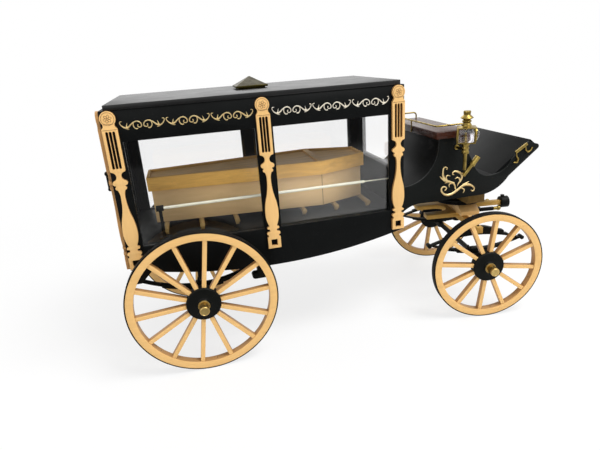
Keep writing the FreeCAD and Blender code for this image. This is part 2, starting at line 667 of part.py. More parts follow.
save("upper_turntable", at_pin(ring(UPPER_RING_Z)))
transom = box(TRANSOM_X[0], TRANSOM_X[1], -TRANSOM_HALF_L, TRANSOM_HALF_L, UPPER_RING_Z + RING_T, BOX_FLOOR_Z)
transom = at_pin(transom.cut(rod(STUB_R, (0, 0, UPPER_RING_Z), (0, 0, BOX_FLOOR_Z + 1))))
save("transom_bolster", transom.cut(toe_board()))
PIN_NUT_R = 3.4
PIN_NUT_T = 3.0
pin = fuse([rod(STUB_R, (0, 0, PIN_FOOT_Z), (0, 0, BOX_FLOOR_Z)),
            rod(PIN_NUT_R, (0, 0, PIN_FOOT_Z), (0, 0, PIN_FOOT_Z + PIN_NUT_T))])
save("king_pin", at_pin(pin))

# ---- front carriage ---------------------------------------------------------------------------
PIN_HOLE_R = STUB_R + RUNNING_GAP
SPRING_BAR_Z = (61.5, 66.5)
SPRING_BAR_HALF_L = 44.0
pin_hole = rod(PIN_HOLE_R, (0, 0, 50), (0, 0, 90))


def save_front(name, shape):
    save(name, steered(shape))


save_front("lower_turntable", ring(BOLSTER_TOP_Z))

bolster = plate([(-25.0, 70.0), (25.0, 70.0), (25.0, 73.0), (19.0, BOLSTER_TOP_Z),
                 (-19.0, BOLSTER_TOP_Z), (-25.0, 73.0)], -8.0, 7.0)
bolster.rotate(V(0, 0, 0), V(0, 0, 1), 90)
save_front("front_bolster", bolster.cut(pin_hole))

FUTCHELL_X = (-31.5, 9.0)
FUTCHELL_Y = (8.0, 16.5)


def futchells():
    """Two rearward arms joined by a curved crotch and the block under the bolster."""
    z0, z1 = FUTCHELL_Z
    frame = box(FUTCHELL_X[0], FUTCHELL_X[1], -FUTCHELL_Y[1], FUTCHELL_Y[1], z0, z1)
    crotch = fuse([box(FUTCHELL_X[0] - 1, -18.0, -FUTCHELL_Y[0], FUTCHELL_Y[0], z0 - 1, z1 + 1),
                   rod(FUTCHELL_Y[0], (-18.0, 0, z0 - 1), (-18.0, 0, z1 + 1))])
    return frame.cut(crotch).cut(pin_hole)


save_front("futchell_frame", futchells())
spring_bar = box(-2.5, 2.5, -SPRING_BAR_HALF_L, SPRING_BAR_HALF_L, *SPRING_BAR_Z)
spring_bar = fuse([spring_bar, rod(5.0, (0, 0, SPRING_BAR_Z[0]), (0, 0, SPRING_BAR_Z[1]))])
save_front("spring_bar", spring_bar.cut(pin_hole))

# leaves of a spring: half length, z of the middle's underside, thickness; each bows by the same arc
FRONT_LOWER_LEAVES = ((37.2, 45.7, 1.0), (26.0, 44.7, 1.0), (15.0, 43.7, 1.0))
FRONT_TIP_Z = 52.8
# x, z of the iron saddle that carries the bar's end on the upper leaves
FRONT_SADDLE = ((3.0, 61.0), (3.0, 65.2), (8.0, 64.5), (22.0, 60.2), (22.0, 58.2))
FRONT_CLIP_X = 5.5
FRONT_CLIP_Z = (AXLE_HALF + FRONT_WHEEL_R, 47.5)


def leaf(half, z_mid, rise, thick):
    """A leaf that bows down in the middle: two concentric arcs, at x = +-half lifted by rise."""
    return [(-half, z_mid + rise), (0, z_mid, half, z_mid + rise), (half, z_mid + rise + thick),
            (0, z_mid + thick, -half, z_mid + rise + thick)]


def leaf_pack(leaves, tip_z, y0, y1):
    """Leaves that share the master leaf's curve."""
    master = leaves[0]
    curve = (tip_z - master[1]) / master[0] ** 2
    solids = [plate(leaf(half, z, curve * half ** 2, t), y0, y1) for half, z, t in leaves]
    return fuse(solids)


def front_spring():
    y0, y1 = -FRONT_SPRING_Y - SPRING_W / 2, -FRONT_SPRING_Y + SPRING_W / 2
    lower = leaf_pack(FRONT_LOWER_LEAVES, FRONT_TIP_Z, y0, y1)
    mirror_z = (FRONT_LOWER_LEAVES[2][1] + SPRING_BAR_Z[0]) / 2
    upper = lower.mirror(V(0, 0, mirror_z), V(0, 0, 1))
    half = FRONT_LOWER_LEAVES[0][0]
    eyes = [rod(1.6, (x, y0 - 0.4, mirror_z), (x, y1 + 0.4, mirror_z)) for x in (-half, half)]
    clip = box(-FRONT_CLIP_X, FRONT_CLIP_X, y0 - 0.8, y1 + 0.8, *FRONT_CLIP_Z)
    saddles = [plate([(side * x, z) for x, z in FRONT_SADDLE], y0, y1) for side in (-1, 1)]
    return fuse([lower, upper, clip] + eyes + saddles)


save_front("front_springs", both_sides(front_spring()))


def axle(half_track, z, bar_half, slim):
    """Square bar between the wheels with a round stub through each hub, slimmer in its middle if asked."""
    bar = box(-AXLE_HALF, AXLE_HALF, -bar_half, bar_half, z - AXLE_HALF, z + AXLE_HALF)
    if slim:
        middle = box(-AXLE_HALF - 1, AXLE_HALF + 1, -SLIM_HALF_L, SLIM_HALF_L, z - AXLE_HALF - 1, z + AXLE_HALF + 1)
        bar = bar.cut(middle.cut(box(-SLIM_HALF, SLIM_HALF, -bar_half, bar_half, z - SLIM_HALF, z + SLIM_HALF)))
    stub = rod(STUB_R, (0, -half_track - 7.0, z), (0, half_track + 7.0, z))
    return fuse([bar, stub])


HUB_INNER = 4.5
HUB_END_GAP = 1.0
TRACK_TO_BAR = WHEEL_WIDTH + HUB_INNER + HUB_END_GAP
save_front("front_axle", axle(FRONT_HALF_TRACK, FRONT_WHEEL_R, FRONT_HALF_TRACK - TRACK_TO_BAR, True))

POLE_X = (FUTCHELL_X[1], 40.0)
POLE_Z = (68.1, 71.9)
POLE_HALF_W = 2.1
SOCKET_R = 2.2
SOCKET_X = (POLE_X[1], 44.0)
COLLAR_R = 4.8
pole = box(POLE_X[0], POLE_X[1], -POLE_HALF_W, POLE_HALF_W, *POLE_Z)
save_front("pole_stub", pole)


def pole_socket():
    """Iron collar over the stub's end, bored in front of it for a draw pole."""
    z = (POLE_Z[0] + POLE_Z[1]) / 2
    collar = fuse([rod(COLLAR_R, (37.5, 0, z), (SOCKET_X[1], 0, z)),
                   rod(1.6, (39.5, 0, z), (39.5, 0, z + COLLAR_R + 1.4))])
    return collar.cut(pole).cut(rod(SOCKET_R, (SOCKET_X[0], 0, z), (SOCKET_X[1] + 1, 0, z)))


arm = box(FUTCHELL_X[1], 27.0, -11.0, -8.6, 67.0, 69.6)
save_front("draw_irons", Part.makeCompound([pole_socket(), both_sides(arm)]))
eye = fuse([rod(1.4, (27.0, -9.8, 68.3), (30.5, -9.8, 68.3)), Part.makeSphere(2.0, V(31.5, -9.8, 68.3))])
save_front("draw_eyes", both_sides(eye))

# ---- rear running gear ------------------------------------------------------------------------
save("rear_axle", axle(REAR_HALF_TRACK, REAR_WHEEL_R, REAR_HALF_TRACK - TRACK_TO_BAR, False))

REAR_LEAVES = ((39.5, 54.4, 1.4), (26.0, 53.2, 1.2), (15.0, 52.0, 1.2))
REAR_TIP_Z = 64.2


def rear_spring():
    y0, y1 = -REAR_SPRING_Y - SPRING_W / 2, -REAR_SPRING_Y + SPRING_W / 2
    pack = leaf_pack(REAR_LEAVES, REAR_TIP_Z, y0, y1)
    clip = box(-3.6, 3.6, y0 - 0.8, y1 + 0.8, 52.0, 57.2)
    bolt = cone(1.1, 0.3, (-1.6, -REAR_SPRING_Y, 57.2), (-1.6, -REAR_SPRING_Y, 60.6))
    return fuse([pack, clip, bolt])


save("rear_springs", both_sides(rear_spring()))

HANGER_HALF_W = 2.6


def rear_hangers():
    """Stepped post at the spring's front end and a cranked bracket at its rear end."""
    y0, y1 = -REAR_SPRING_Y - HANGER_HALF_W, -REAR_SPRING_Y + HANGER_HALF_W
    block = plate([(37.6, 53.0), (45.5, 53.0), (45.5, 71.0), (39.4, 71.0), (39.4, 57.3), (37.6, 57.3),
                   (35.5, 55.15, 37.6, 53.0)], y0, y1)
    strut = plate([(-41.5, 63.4), (-38.0, 63.4), (-30.0, 71.5), (-30.0, 80.0), (-38.0, 80.0)], y0, y1)
    spring = rear_spring()
    return Part.makeCompound([block.cut(spring).cut(underside).common(box(30, 50, -60, 0, 50, 69.0)),
                              strut.cut(spring).cut(underside).common(box(-50, -30, -60, 0, 50, 78.4))])


save("rear_hangers", both_sides(rear_hangers()))

# ---- wheels -----------------------------------------------------------------------------------
SPOKE_W_HUB = 2.9
SPOKE_W_RIM = 2.4
SPOKE_DEPTH = 4.2


def wheel_wood(radius, spokes, first_spoke):
    """Rim and spokes about the Y axis, with the outer face at y = 0 and the inner at y = WHEEL_WIDTH."""
    rim_r = radius - TYRE_T
    rim = rod(rim_r, (0, 0, 0), (0, WHEEL_WIDTH, 0)).cut(
        rod(rim_r - RIM_DEPTH, (0, -1, 0), (0, WHEEL_WIDTH + 1, 0)))
    mid = WHEEL_WIDTH / 2
    pieces = [rim]
    for i in range(spokes):
        spoke = plate([(HUB_R - 3.0, -SPOKE_W_HUB / 2), (rim_r - RIM_DEPTH + 0.6, -SPOKE_W_RIM / 2),
                       (rim_r - RIM_DEPTH + 0.6, SPOKE_W_RIM / 2), (HUB_R - 3.0, SPOKE_W_HUB / 2)],
                      mid - SPOKE_DEPTH / 2, mid + SPOKE_DEPTH / 2)
        spoke.rotate(V(0, 0, 0), V(0, 1, 0), -first_spoke - 360.0 * i / spokes)
        pieces.append(spoke)
    nave = rod(HUB_R - 2.4, (0, mid - SPOKE_DEPTH / 2, 0), (0, mid + SPOKE_DEPTH / 2, 0))
    return fuse(pieces + [nave]).cut(rod(5.0, (0, -9, 0), (0, 9, 0)))


def wheel_tyre(radius):
    return rod(radius, (0, 0, 0), (0, WHEEL_WIDTH, 0)).cut(
        rod(radius - TYRE_T, (0, -1, 0), (0, WHEEL_WIDTH + 1, 0)))


def wheel_hub(radius):
    """Black hub: an outer disc with a raised boss, a barrel through the nave and an inner disc."""
    mid = WHEEL_WIDTH / 2
    half = SPOKE_DEPTH / 2
    outer = cone(HUB_R, HUB_R - 0.6, (0, mid - half, 0), (0, -0.8, 0))
    boss = cone(4.6, 4.2, (0, -0.8, 0), (0, -2.2, 0))
    barrel = rod(5.0, (0, mid - half, 0), (0, mid + half, 0))
    inner = rod(HUB_R, (0, mid + half, 0), (0, WHEEL_WIDTH, 0))
    tail = rod(4.6, (0, WHEEL_WIDTH, 0), (0, WHEEL_WIDTH + HUB_INNER, 0))
    return fuse([outer, boss, barrel, inner, tail]).cut(rod(STUB_R + RUNNING_GAP, (0, -9, 0), (0, 30, 0)))


def hub_nut():
    """Brass washer and round cap nut outside the hub, hollow over the stub."""
    washer = rod(3.9, (0, -3.0, 0), (0, -2.2, 0))
    cap = rod(3.2, (0, -10.6, 0), (0, -3.0, 0))
    return fuse([washer, cap]).cut(rod(STUB_R + RUNNING_GAP, (0, -7.3, 0), (0, 0, 0)))


# name, wheel radius, spokes, first spoke's angle from forward up, half track, True where it steers
WHEEL_SETS = (("rear", REAR_WHEEL_R, 14, 4.5, REAR_HALF_TRACK, False),
              ("front", FRONT_WHEEL_R, 12, 22.75, FRONT_HALF_TRACK, True))


def save_wheel_set(name, radius, spokes, first_spoke, half_track, turns):
    parts = (("wheel", wheel_wood(radius, spokes, first_spoke)), ("tyre", wheel_tyre(radius)),
             ("hub", wheel_hub(radius)), ("nut", hub_nut()))
    for part, shape in parts:
        right = shape.translated(V(0, -half_track, radius))
        left = right.mirror(V(0, 0, 0), V(0, 1, 0))
        for side, piece in (("right", right), ("left", left)):
            node = "%s_%s_%s" % (name, side, part)
            if turns:
                save_front(node, piece)
            else:
                save(node, piece)


for wheel_set in WHEEL_SETS:
    save_wheel_set(*wheel_set)
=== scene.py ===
import json
import math

import bmesh
import bpy
from bpy.props import FloatProperty, FloatVectorProperty, IntProperty, PointerProperty
from mathutils import Matrix, Vector


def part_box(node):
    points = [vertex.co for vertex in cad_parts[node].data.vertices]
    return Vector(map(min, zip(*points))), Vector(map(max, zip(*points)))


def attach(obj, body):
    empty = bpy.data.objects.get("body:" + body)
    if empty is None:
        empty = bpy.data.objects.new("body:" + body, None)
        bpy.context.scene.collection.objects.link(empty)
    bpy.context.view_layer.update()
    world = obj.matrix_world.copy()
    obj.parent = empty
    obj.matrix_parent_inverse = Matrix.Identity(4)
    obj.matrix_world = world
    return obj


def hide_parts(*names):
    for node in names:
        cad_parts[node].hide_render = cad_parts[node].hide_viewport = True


bl_info = {
    "name": "Model Hearse Dresser",
    "version": (1, 0, 0),
    "blender": (4, 5, 0),
    "location": "View3D > Sidebar > Hearse",
    "description": "Dresses the packed parts of a small horse-drawn hearse in wood, lacquer, brass and glass",
    "category": "Object",
}

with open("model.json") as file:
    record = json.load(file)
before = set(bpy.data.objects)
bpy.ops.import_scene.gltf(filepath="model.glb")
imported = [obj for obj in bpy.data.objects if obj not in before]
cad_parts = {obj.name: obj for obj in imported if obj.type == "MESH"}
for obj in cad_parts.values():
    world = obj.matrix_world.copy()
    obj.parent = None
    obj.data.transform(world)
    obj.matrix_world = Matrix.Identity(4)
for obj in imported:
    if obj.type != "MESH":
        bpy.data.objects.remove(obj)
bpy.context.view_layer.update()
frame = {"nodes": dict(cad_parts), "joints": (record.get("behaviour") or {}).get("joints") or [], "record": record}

MM = 0.001
BODY = "carriage_body"
FRONT = "front_carriage"
DOOR = "door"


# ---- places read from the frame ---------------------------------------------------------------
def joint(name):
    return next(j for j in frame["joints"] if j["name"] == name)


REAR_X = joint("rear_right_spin")["pos_m"][0]
PIN_X = joint("steering")["pos_m"][0]
STEER_AXIS = joint("front_right_spin")["axis"]
STEER = math.atan2(-STEER_AXIS[0], STEER_AXIS[1])
REAR_PLACE = Matrix.Translation((REAR_X, 0, 0))
FRONT_PLACE = Matrix.Translation((PIN_X, 0, 0)) @ Matrix.Rotation(STEER, 4, "Z")
MIRROR = Matrix.Scale(-1, 4, (0, 1, 0))


def at(x, y, z):
    """A point given in millimetres, with x counted forward from the rear axle."""
    return Vector((REAR_X + x * MM, y * MM, z * MM))


def box_mm(node):
    """A CAD node's lowest and highest corners in millimetres, with x counted from the rear axle."""
    return [((p[0] - REAR_X) / MM, p[1] / MM, p[2] / MM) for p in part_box(node)]


# ---- sizes and colours a user may change ------------------------------------------------------
def length(name, description, default_mm):
    return FloatProperty(name=name, description=description, default=default_mm * MM, min=0.0, max=20.0 * MM,
                         precision=5, subtype="DISTANCE", unit="LENGTH")


def colour(name, description, default):
    return FloatVectorProperty(name=name, description=description, default=default, size=3, min=0.0, max=1.0,
                               subtype="COLOR")


def distance(name, description, default):
    return FloatProperty(name=name, description=description, default=default, unit="LENGTH")


def view_angle(name, description, degrees):
    return FloatProperty(name=name, description=description, default=math.radians(degrees), subtype="ANGLE")


def whole_number(name, description, default, low, high):
    return IntProperty(name=name, description=description, default=default, min=low, max=high)


class HearseSizes(bpy.types.PropertyGroup):
    """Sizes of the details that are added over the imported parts."""
    panel_edge: length("Panel edge", "Rounding of the lacquered boards' edges", 0.25)
    wood_edge: length("Wood edge", "Rounding of the varnished wood's edges", 0.3)
    spoke_hub_width: length("Spoke width at hub", "Width of a spoke where it enters the hub", 2.9)
    spoke_rim_width: length("Spoke width at rim", "Width of a spoke where it meets the rim", 2.4)
    nail_radius: length("Nail radius", "Radius of the small nails in the rims", 0.34)
    scroll_thickness: length("Scroll thickness", "How far the gilt scrolls stand off the panels", 0.3)
    engraving: length("Engraved line", "Half width of the burnt lines on the pilasters", 0.10)
    bolt_radius: length("Bolt radius", "Radius of the small bolt heads", 0.75)
    rosette_petals: whole_number("Rosette petals", "Petals engraved in each pilaster's rosette", 6, 3, 12)
    scrolls_per_bay: whole_number("Scrolls per bay", "Gilt scrolls above each side window", 3, 1, 6)


class HearseColours(bpy.types.PropertyGroup):
    """Base colours of the finishes."""
    maple: colour("Maple", "Varnished pale wood of the wheels and pilasters", (0.88, 0.545, 0.205))
    # this colour darkens the sawn edges, both as burnt wood and as painted shade on their sides
    maple_dark: colour("Cut edge and shade", "Sawn edges and grain of the pale wood", (0.40, 0.19, 0.055))
    coffin: colour("Coffin boards", "Side boards of the coffin", (0.86, 0.60, 0.30))
    coffin_dark: colour("Coffin grain", "Grain lines of the side boards", (0.55, 0.35, 0.11))
    lid: colour("Coffin lid", "Darker boards of the coffin's lid", (0.96, 0.56, 0.13))
    lid_dark: colour("Lid grain", "Grain lines of the lid", (0.46, 0.20, 0.04))
    mahogany: colour("Seat wood", "Dark wood of the driver's seat", (0.060, 0.018, 0.010))
    lacquer: colour("Lacquer", "Black lacquer of the body", (0.0035, 0.004, 0.004))
    satin: colour("Satin panel", "Dark satin paint of the driver's box", (0.0055, 0.0065, 0.006))
    roofing: colour("Roof paint", "Dark paint of the roof", (0.005, 0.005, 0.005))
    brass: colour("Brass", "Aged brass fittings", (0.38, 0.275, 0.075))
    gilt: colour("Gilt", "Pale gold of the scrolls", (0.90, 0.70, 0.36))
    iron: colour("Black iron", "Enamelled axles, springs and hubs", (0.004, 0.0045, 0.004))


class HearseStage(bpy.types.PropertyGroup):
    """Camera, floor and light."""
    camera_height: distance("Camera height", "Height of the camera above the floor", 0.2011)
    camera_back: distance("Camera distance", "Distance to the vehicle's right side", 0.3428)
    camera_along: distance("Camera along", "Place forward of the rear axle", 0.0062)
    heading: view_angle("Heading", "Turn of the view towards the front", 12.27)
    tilt: view_angle("Tilt", "How far the camera looks down", 19.98)
    roll: view_angle("Roll", "Lean of the camera about its own axis", -4.12)
    lens: FloatProperty(name="Lens", description="Focal length on a 36 mm sensor", default=28.516, min=5.0, max=200.0)
    key_power: FloatProperty(name="Key power", description="Power of the large lamp above", default=1.5, min=0.0)
    sky_level: FloatProperty(name="Sky level", description="Even light from all round", default=0.42, min=0.0)


def sizes():
    return bpy.context.scene.hearse_sizes


# ---- node trees -------------------------------------------------------------------------------
FLOAT, VECTOR, OBJECT = "NodeSocketFloat", "NodeSocketVector", "NodeSocketObject"
GEOMETRY, MATERIAL = "NodeSocketGeometry", "NodeSocketMaterial"
SOCKET_OF = {float: FLOAT, int: "NodeSocketInt"}


def first_output(value):
    return value.outputs[0] if isinstance(value, bpy.types.Node) else value


def put(tree, kind, sockets=None, **settings):
    """Adds a node, a shader node where no family is named. sockets maps an input's name or index to a value,
    a socket or a node (its first output)."""
    node = tree.nodes.new(kind if "Node" in kind else "ShaderNode" + kind)
    for key, value in settings.items():
        setattr(node, key, value)
    for key, value in (sockets or {}).items():
        value = first_output(value)
        if isinstance(value, bpy.types.NodeSocket):
            tree.links.new(value, node.inputs[key])
        else:
            node.inputs[key].default_value = value
    return node


def geo(tree, kind, sockets=None, **settings):
    return put(tree, "GeometryNode" + kind, sockets, **settings)


def feed(tree, node, **inputs):
    """Links nodes or sockets to a node's inputs, which are named with underscores for spaces."""
    for key, value in inputs.items():
        tree.links.new(first_output(value), node.inputs[key.replace("_", " ")])


def math_node(tree, operation, a, b=0.0, clamp=False):
    return put(tree, "Math", {0: a, 1: b}, operation=operation, use_clamp=clamp)


def vector_node(tree, operation, a, b=(0.0, 0.0, 0.0)):
    return put(tree, "VectorMath", {0: a, 1: b}, operation=operation)


def scaled(tree, vector, factor):
    return put(tree, "VectorMath", {0: vector, 3: factor}, operation="SCALE")


def xyz(tree, **parts):
    return put(tree, "CombineXYZ", {key.upper(): value for key, value in parts.items()})


def noise(tree, vector, scale, detail, roughness=0.5):
    return put(tree, "TexNoise", {"Vector": vector, "Scale": scale, "Detail": detail, "Roughness": roughness})


def ranged(tree, value, low, high, to_low=0.0, to_high=1.0, ease="LINEAR"):
    """A value carried from one range to another and held at its ends."""
    return put(tree, "MapRange", {"Value": value, "From Min": low, "From Max": high, "To Min": to_low,
                                  "To Max": to_high}, interpolation_type=ease)


def spread(tree, value, low, high):
    """A 0 to 1 value spread between two others."""
    return ranged(tree, value, 0.0, 1.0, low, high)


def new_group(name, tree_type, outputs, **inputs):
    """A node group and its inputs' sockets. An input is given by its default, or by its socket's type where it
    has none, and named with underscores for spaces."""
    group = bpy.data.node_groups.new(name, tree_type)
    for label, default in inputs.items():
        kind = SOCKET_OF.get(type(default), default)
        socket = group.interface.new_socket(label.replace("_", " "), in_out="INPUT", socket_type=kind)
        if kind is not default:
            socket.default_value = default
    for label, kind in outputs.items():
        group.interface.new_socket(label, in_out="OUTPUT", socket_type=kind)
    return group, group.nodes.new("NodeGroupInput").outputs


def shader_group(name, outputs, **inputs):
    return new_group(name, "ShaderNodeTree", dict.fromkeys(outputs, FLOAT), Vector=VECTOR, **inputs)


def wood_grain_group():
    """Long streaks, fine pores and slow colour drift. The grain runs along the vector's X."""
    group, given = shader_group("Wood grain", ("Grain", "Drift", "Height"), Streaks_per_metre=600.0, Waviness=0.4,
                                Pores=0.5)
    wander = noise(group, given["Vector"], 45.0, 2.0)
    push = vector_node(group, "SUBTRACT", wander.outputs["Color"], (0.5, 0.5, 0.5))
    bend = scaled(group, push, math_node(group, "MULTIPLY", given["Waviness"], 0.004))
    bent = vector_node(group, "ADD", given["Vector"], bend)
    drawn_out = vector_node(group, "MULTIPLY", bent, (0.06, 1.0, 1.0))
    ramp = ranged(group, noise(group, drawn_out, given["Streaks per metre"], 5.0, 0.62), 0.33, 0.7)
    fine = noise(group, vector_node(group, "MULTIPLY", bent, (0.035, 1.0, 1.0)), 3200.0, 2.0)
    pores = math_node(group, "MULTIPLY", ranged(group, fine, 0.56, 0.74), given["Pores"])
    grain = math_node(group, "ADD", math_node(group, "MULTIPLY", ramp, 0.75), pores, clamp=True)
    put(group, "NodeGroupOutput", {"Grain": grain, "Drift": noise(group, given["Vector"], 28.0, 3.0),
                                   "Height": math_node(group, "SUBTRACT", 1.0, grain)})


def edge_wear_group():
    """A mask that is 1 on outer edges, broken up so that the wear is uneven."""
    group, given = shader_group("Edge wear", ("Mask",), Reach=0.0004, Amount=0.5)
    rounded = put(group, "Bevel", {"Radius": given["Reach"]}, samples=4)
    match = vector_node(group, "DOT_PRODUCT", rounded, put(group, "NewGeometry").outputs["Normal"])
    edge = ranged(group, match.outputs["Value"], 0.97, 0.80)
    broken = ranged(group, noise(group, given["Vector"], 420.0, 4.0), 0.40, 0.62)
    both = math_node(group, "MULTIPLY", edge, broken)
    put(group, "NodeGroupOutput", {"Mask": math_node(group, "MULTIPLY", both, given["Amount"], clamp=True)})


def dust_group():
    """Fine specks and a thin film that gathers on faces that look up."""
    group, given = shader_group("Settled dust", ("Mask",), Film=0.1, Specks=0.3)
    normal = put(group, "SeparateXYZ", {0: put(group, "NewGeometry").outputs["Normal"]})
    up = ranged(group, normal.outputs["Z"], 0.2, 0.95)
    cloud = math_node(group, "MULTIPLY", up, noise(group, given["Vector"], 60.0, 5.0))
    film = math_node(group, "MULTIPLY", cloud, given["Film"])
    cells = put(group, "TexVoronoi", {"Vector": given["Vector"], "Scale": 850.0, "Randomness": 1.0})
    few = math_node(group, "GREATER_THAN", put(group, "SeparateColor", {0: cells.outputs["Color"]}), 0.72)
    speck = math_node(group, "MULTIPLY", ranged(group, cells.outputs["Distance"], 0.16, 0.07), few)
    specks = math_node(group, "MULTIPLY", speck, given["Specks"])
    put(group, "NodeGroupOutput", {"Mask": math_node(group, "ADD", film, specks, clamp=True)})


def mottle_group():
    """Two scales of soft blotches, for uneven gloss and tarnish and for fine bumps."""
    group, given = shader_group("Mottle", ("Broad", "Fine"), Broad_scale=90.0, Fine_scale=1400.0)
    put(group, "NodeGroupOutput", {label: noise(group, given["Vector"], given[label + " scale"], 4.0)
                                   for label in ("Broad", "Fine")})


EFFECTS = {"Wood grain": wood_grain_group, "Edge wear": edge_wear_group, "Settled dust": dust_group,
           "Mottle": mottle_group}


def object_vector(tree):
    return put(tree, "TexCoord").outputs["Object"]


def effect(tree, name, **values):
    """Places a shared shader group, on Object coordinates unless a Vector is given. Its values are named with
    underscores for spaces."""
    if name not in bpy.data.node_groups:
        EFFECTS[name]()
    sockets = {key.replace("_", " "): value for key, value in values.items()}
    if "Vector" not in sockets:
        sockets["Vector"] = object_vector(tree)
    return put(tree, "Group", sockets, node_tree=bpy.data.node_groups[name])


def mix(tree, factor, a, b):
    """Two colours mixed. Each is a node, a socket or three numbers."""
    a, b = (value if isinstance(value, (bpy.types.Node, bpy.types.NodeSocket)) else (*value, 1.0)
            for value in (a, b))
    return put(tree, "Mix", {0: factor, 6: a, 7: b}, data_type="RGBA").outputs[2]


def shader(name, **sockets):
    """A new material's tree and its Principled BSDF. sockets set its constants, with underscores for spaces."""
    material = bpy.data.materials.new(name)
    material.use_nodes = True
    surface = material.node_tree.nodes["Principled BSDF"]
    for key, value in sockets.items():
        surface.inputs[key.replace("_", " ")].default_value = value
    return material.node_tree, surface


def surface_to_output(tree, node):
    feed(tree, tree.nodes["Material Output"], Surface=node)


def bump(tree, height, depth, strength):
    return put(tree, "Bump", {"Height": height, "Distance": depth, "Strength": strength})


# ---- finishes ---------------------------------------------------------------------------------
def wood(name, base, dark, streaks, waviness, pores, contrast, gloss, coat, burnt_edge_and_shade, shine=0.3):
    """Varnished wood. Each piece's "grain" attribute runs along its fibres, and "cut" is 1 on sawn edges."""
    tree, surface = shader(name, Coat_Weight=coat, Coat_Roughness=0.22, Specular_IOR_Level=shine)
    vector = put(tree, "Attribute", attribute_name="grain").outputs["Vector"]
    grain = effect(tree, "Wood grain", Vector=vector, Streaks_per_metre=streaks, Waviness=waviness, Pores=pores)
    tone = scaled(tree, tuple(base), spread(tree, grain.outputs["Drift"], 0.86, 1.10))
    streaked = mix(tree, math_node(tree, "MULTIPLY", grain, contrast), tone, dark)
    # sawn edges are darkened towards the dark colour: partly the burnt edge of the cut wood, partly painted shade on
    # the sides of the spokes and pilasters
    cut = put(tree, "Attribute", attribute_name="cut").outputs["Fac"]
    sawn = mix(tree, math_node(tree, "MULTIPLY", cut, burnt_edge_and_shade), streaked, dark)
    dust = effect(tree, "Settled dust", Vector=vector, Film=0.08, Specks=0.12)
    feed(tree, surface, Base_Color=mix(tree, dust, sawn, (0.75, 0.72, 0.66)),
         Roughness=spread(tree, grain, gloss - 0.06, gloss + 0.14),
         Normal=bump(tree, grain.outputs["Height"], 0.00004, 0.5))


def paint(name, base, gloss, specular, worn, dust):
    """Paint over board or iron, with orange peel, rubbed edges and a little dust."""
    tree, surface = shader(name, Specular_IOR_Level=specular)
    mottle = effect(tree, "Mottle", Broad_scale=70.0, Fine_scale=900.0)
    lighter = [min(1.0, c * 1.7 + 0.004) for c in base]
    body = mix(tree, spread(tree, mottle, 0.0, 0.5), base, lighter)
    rubbed = mix(tree, effect(tree, "Edge wear", Reach=0.0005, Amount=0.55), body, worn)
    settled = effect(tree, "Settled dust", Film=dust, Specks=dust * 2.2)
    feed(tree, surface, Base_Color=mix(tree, settled, rubbed, (0.42, 0.41, 0.39)),
         Roughness=spread(tree, mottle, gloss - 0.05, gloss + 0.13),
         Normal=bump(tree, mottle.outputs["Fine"], 0.00002, 0.35))


def aged_metal(name, base, tarnish, tarnish_amount, gloss, reach, rub=1.35):
    """Metal with tarnish in blotches. Rubbed edges are brighter than the base by the factor rub."""
    tree, surface = shader(name, Metallic=1.0)
    mottle = effect(tree, "Mottle", Broad_scale=260.0, Fine_scale=2200.0)
    blotch = ranged(tree, mottle, 0.38, 0.66, 0.0, tarnish_amount)
    edge = effect(tree, "Edge wear", Reach=reach, Amount=0.9)
    bright = mix(tree, edge, mix(tree, blotch, base, tarnish), [min(1.0, c * rub) for c in base])
    fine = mottle.outputs["Fine"]
    rough = math_node(tree, "ADD", spread(tree, fine, gloss - 0.05, gloss + 0.08),
                      math_node(tree, "MULTIPLY", blotch, 0.22))
    feed(tree, surface, Base_Color=bright, Roughness=rough, Normal=bump(tree, fine, 0.00003, 0.4))


def clear_pane(name, tint, gloss):
    """Clear glass that mirrors its surroundings faintly and lets the light through to what is behind it."""
    tree, surface = shader(name, Transmission_Weight=1.0, IOR=1.5, Base_Color=(*tint, 1.0))
    mottle = effect(tree, "Mottle", Broad_scale=35.0, Fine_scale=500.0)
    feed(tree, surface, Roughness=spread(tree, mottle, gloss, gloss + 0.01))
    # shade and soft light pass a pane as if it weren't there, so what stands behind it is lit as outside
    light = put(tree, "LightPath").outputs
    unseen = math_node(tree, "MAXIMUM", light["Is Shadow Ray"], light["Is Diffuse Ray"])
    surface_to_output(tree, put(tree, "MixShader", {0: unseen, 1: surface, 2: put(tree, "BsdfTransparent")}))


def tyre_finish():
    tree, surface = shader("Tyre band", Specular_IOR_Level=0.06)
    mottle = effect(tree, "Mottle", Broad_scale=120.0, Fine_scale=1800.0)
    base = mix(tree, mottle, (0.004, 0.0038, 0.0036), (0.010, 0.009, 0.008))
    dust = effect(tree, "Settled dust", Film=0.02, Specks=0.12)
    fine = mottle.outputs["Fine"]
    feed(tree, surface, Base_Color=mix(tree, dust, base, (0.30, 0.28, 0.25)), Roughness=spread(tree, fine, 0.45, 0.7),
         Normal=bump(tree, fine, 0.00006, 0.6))


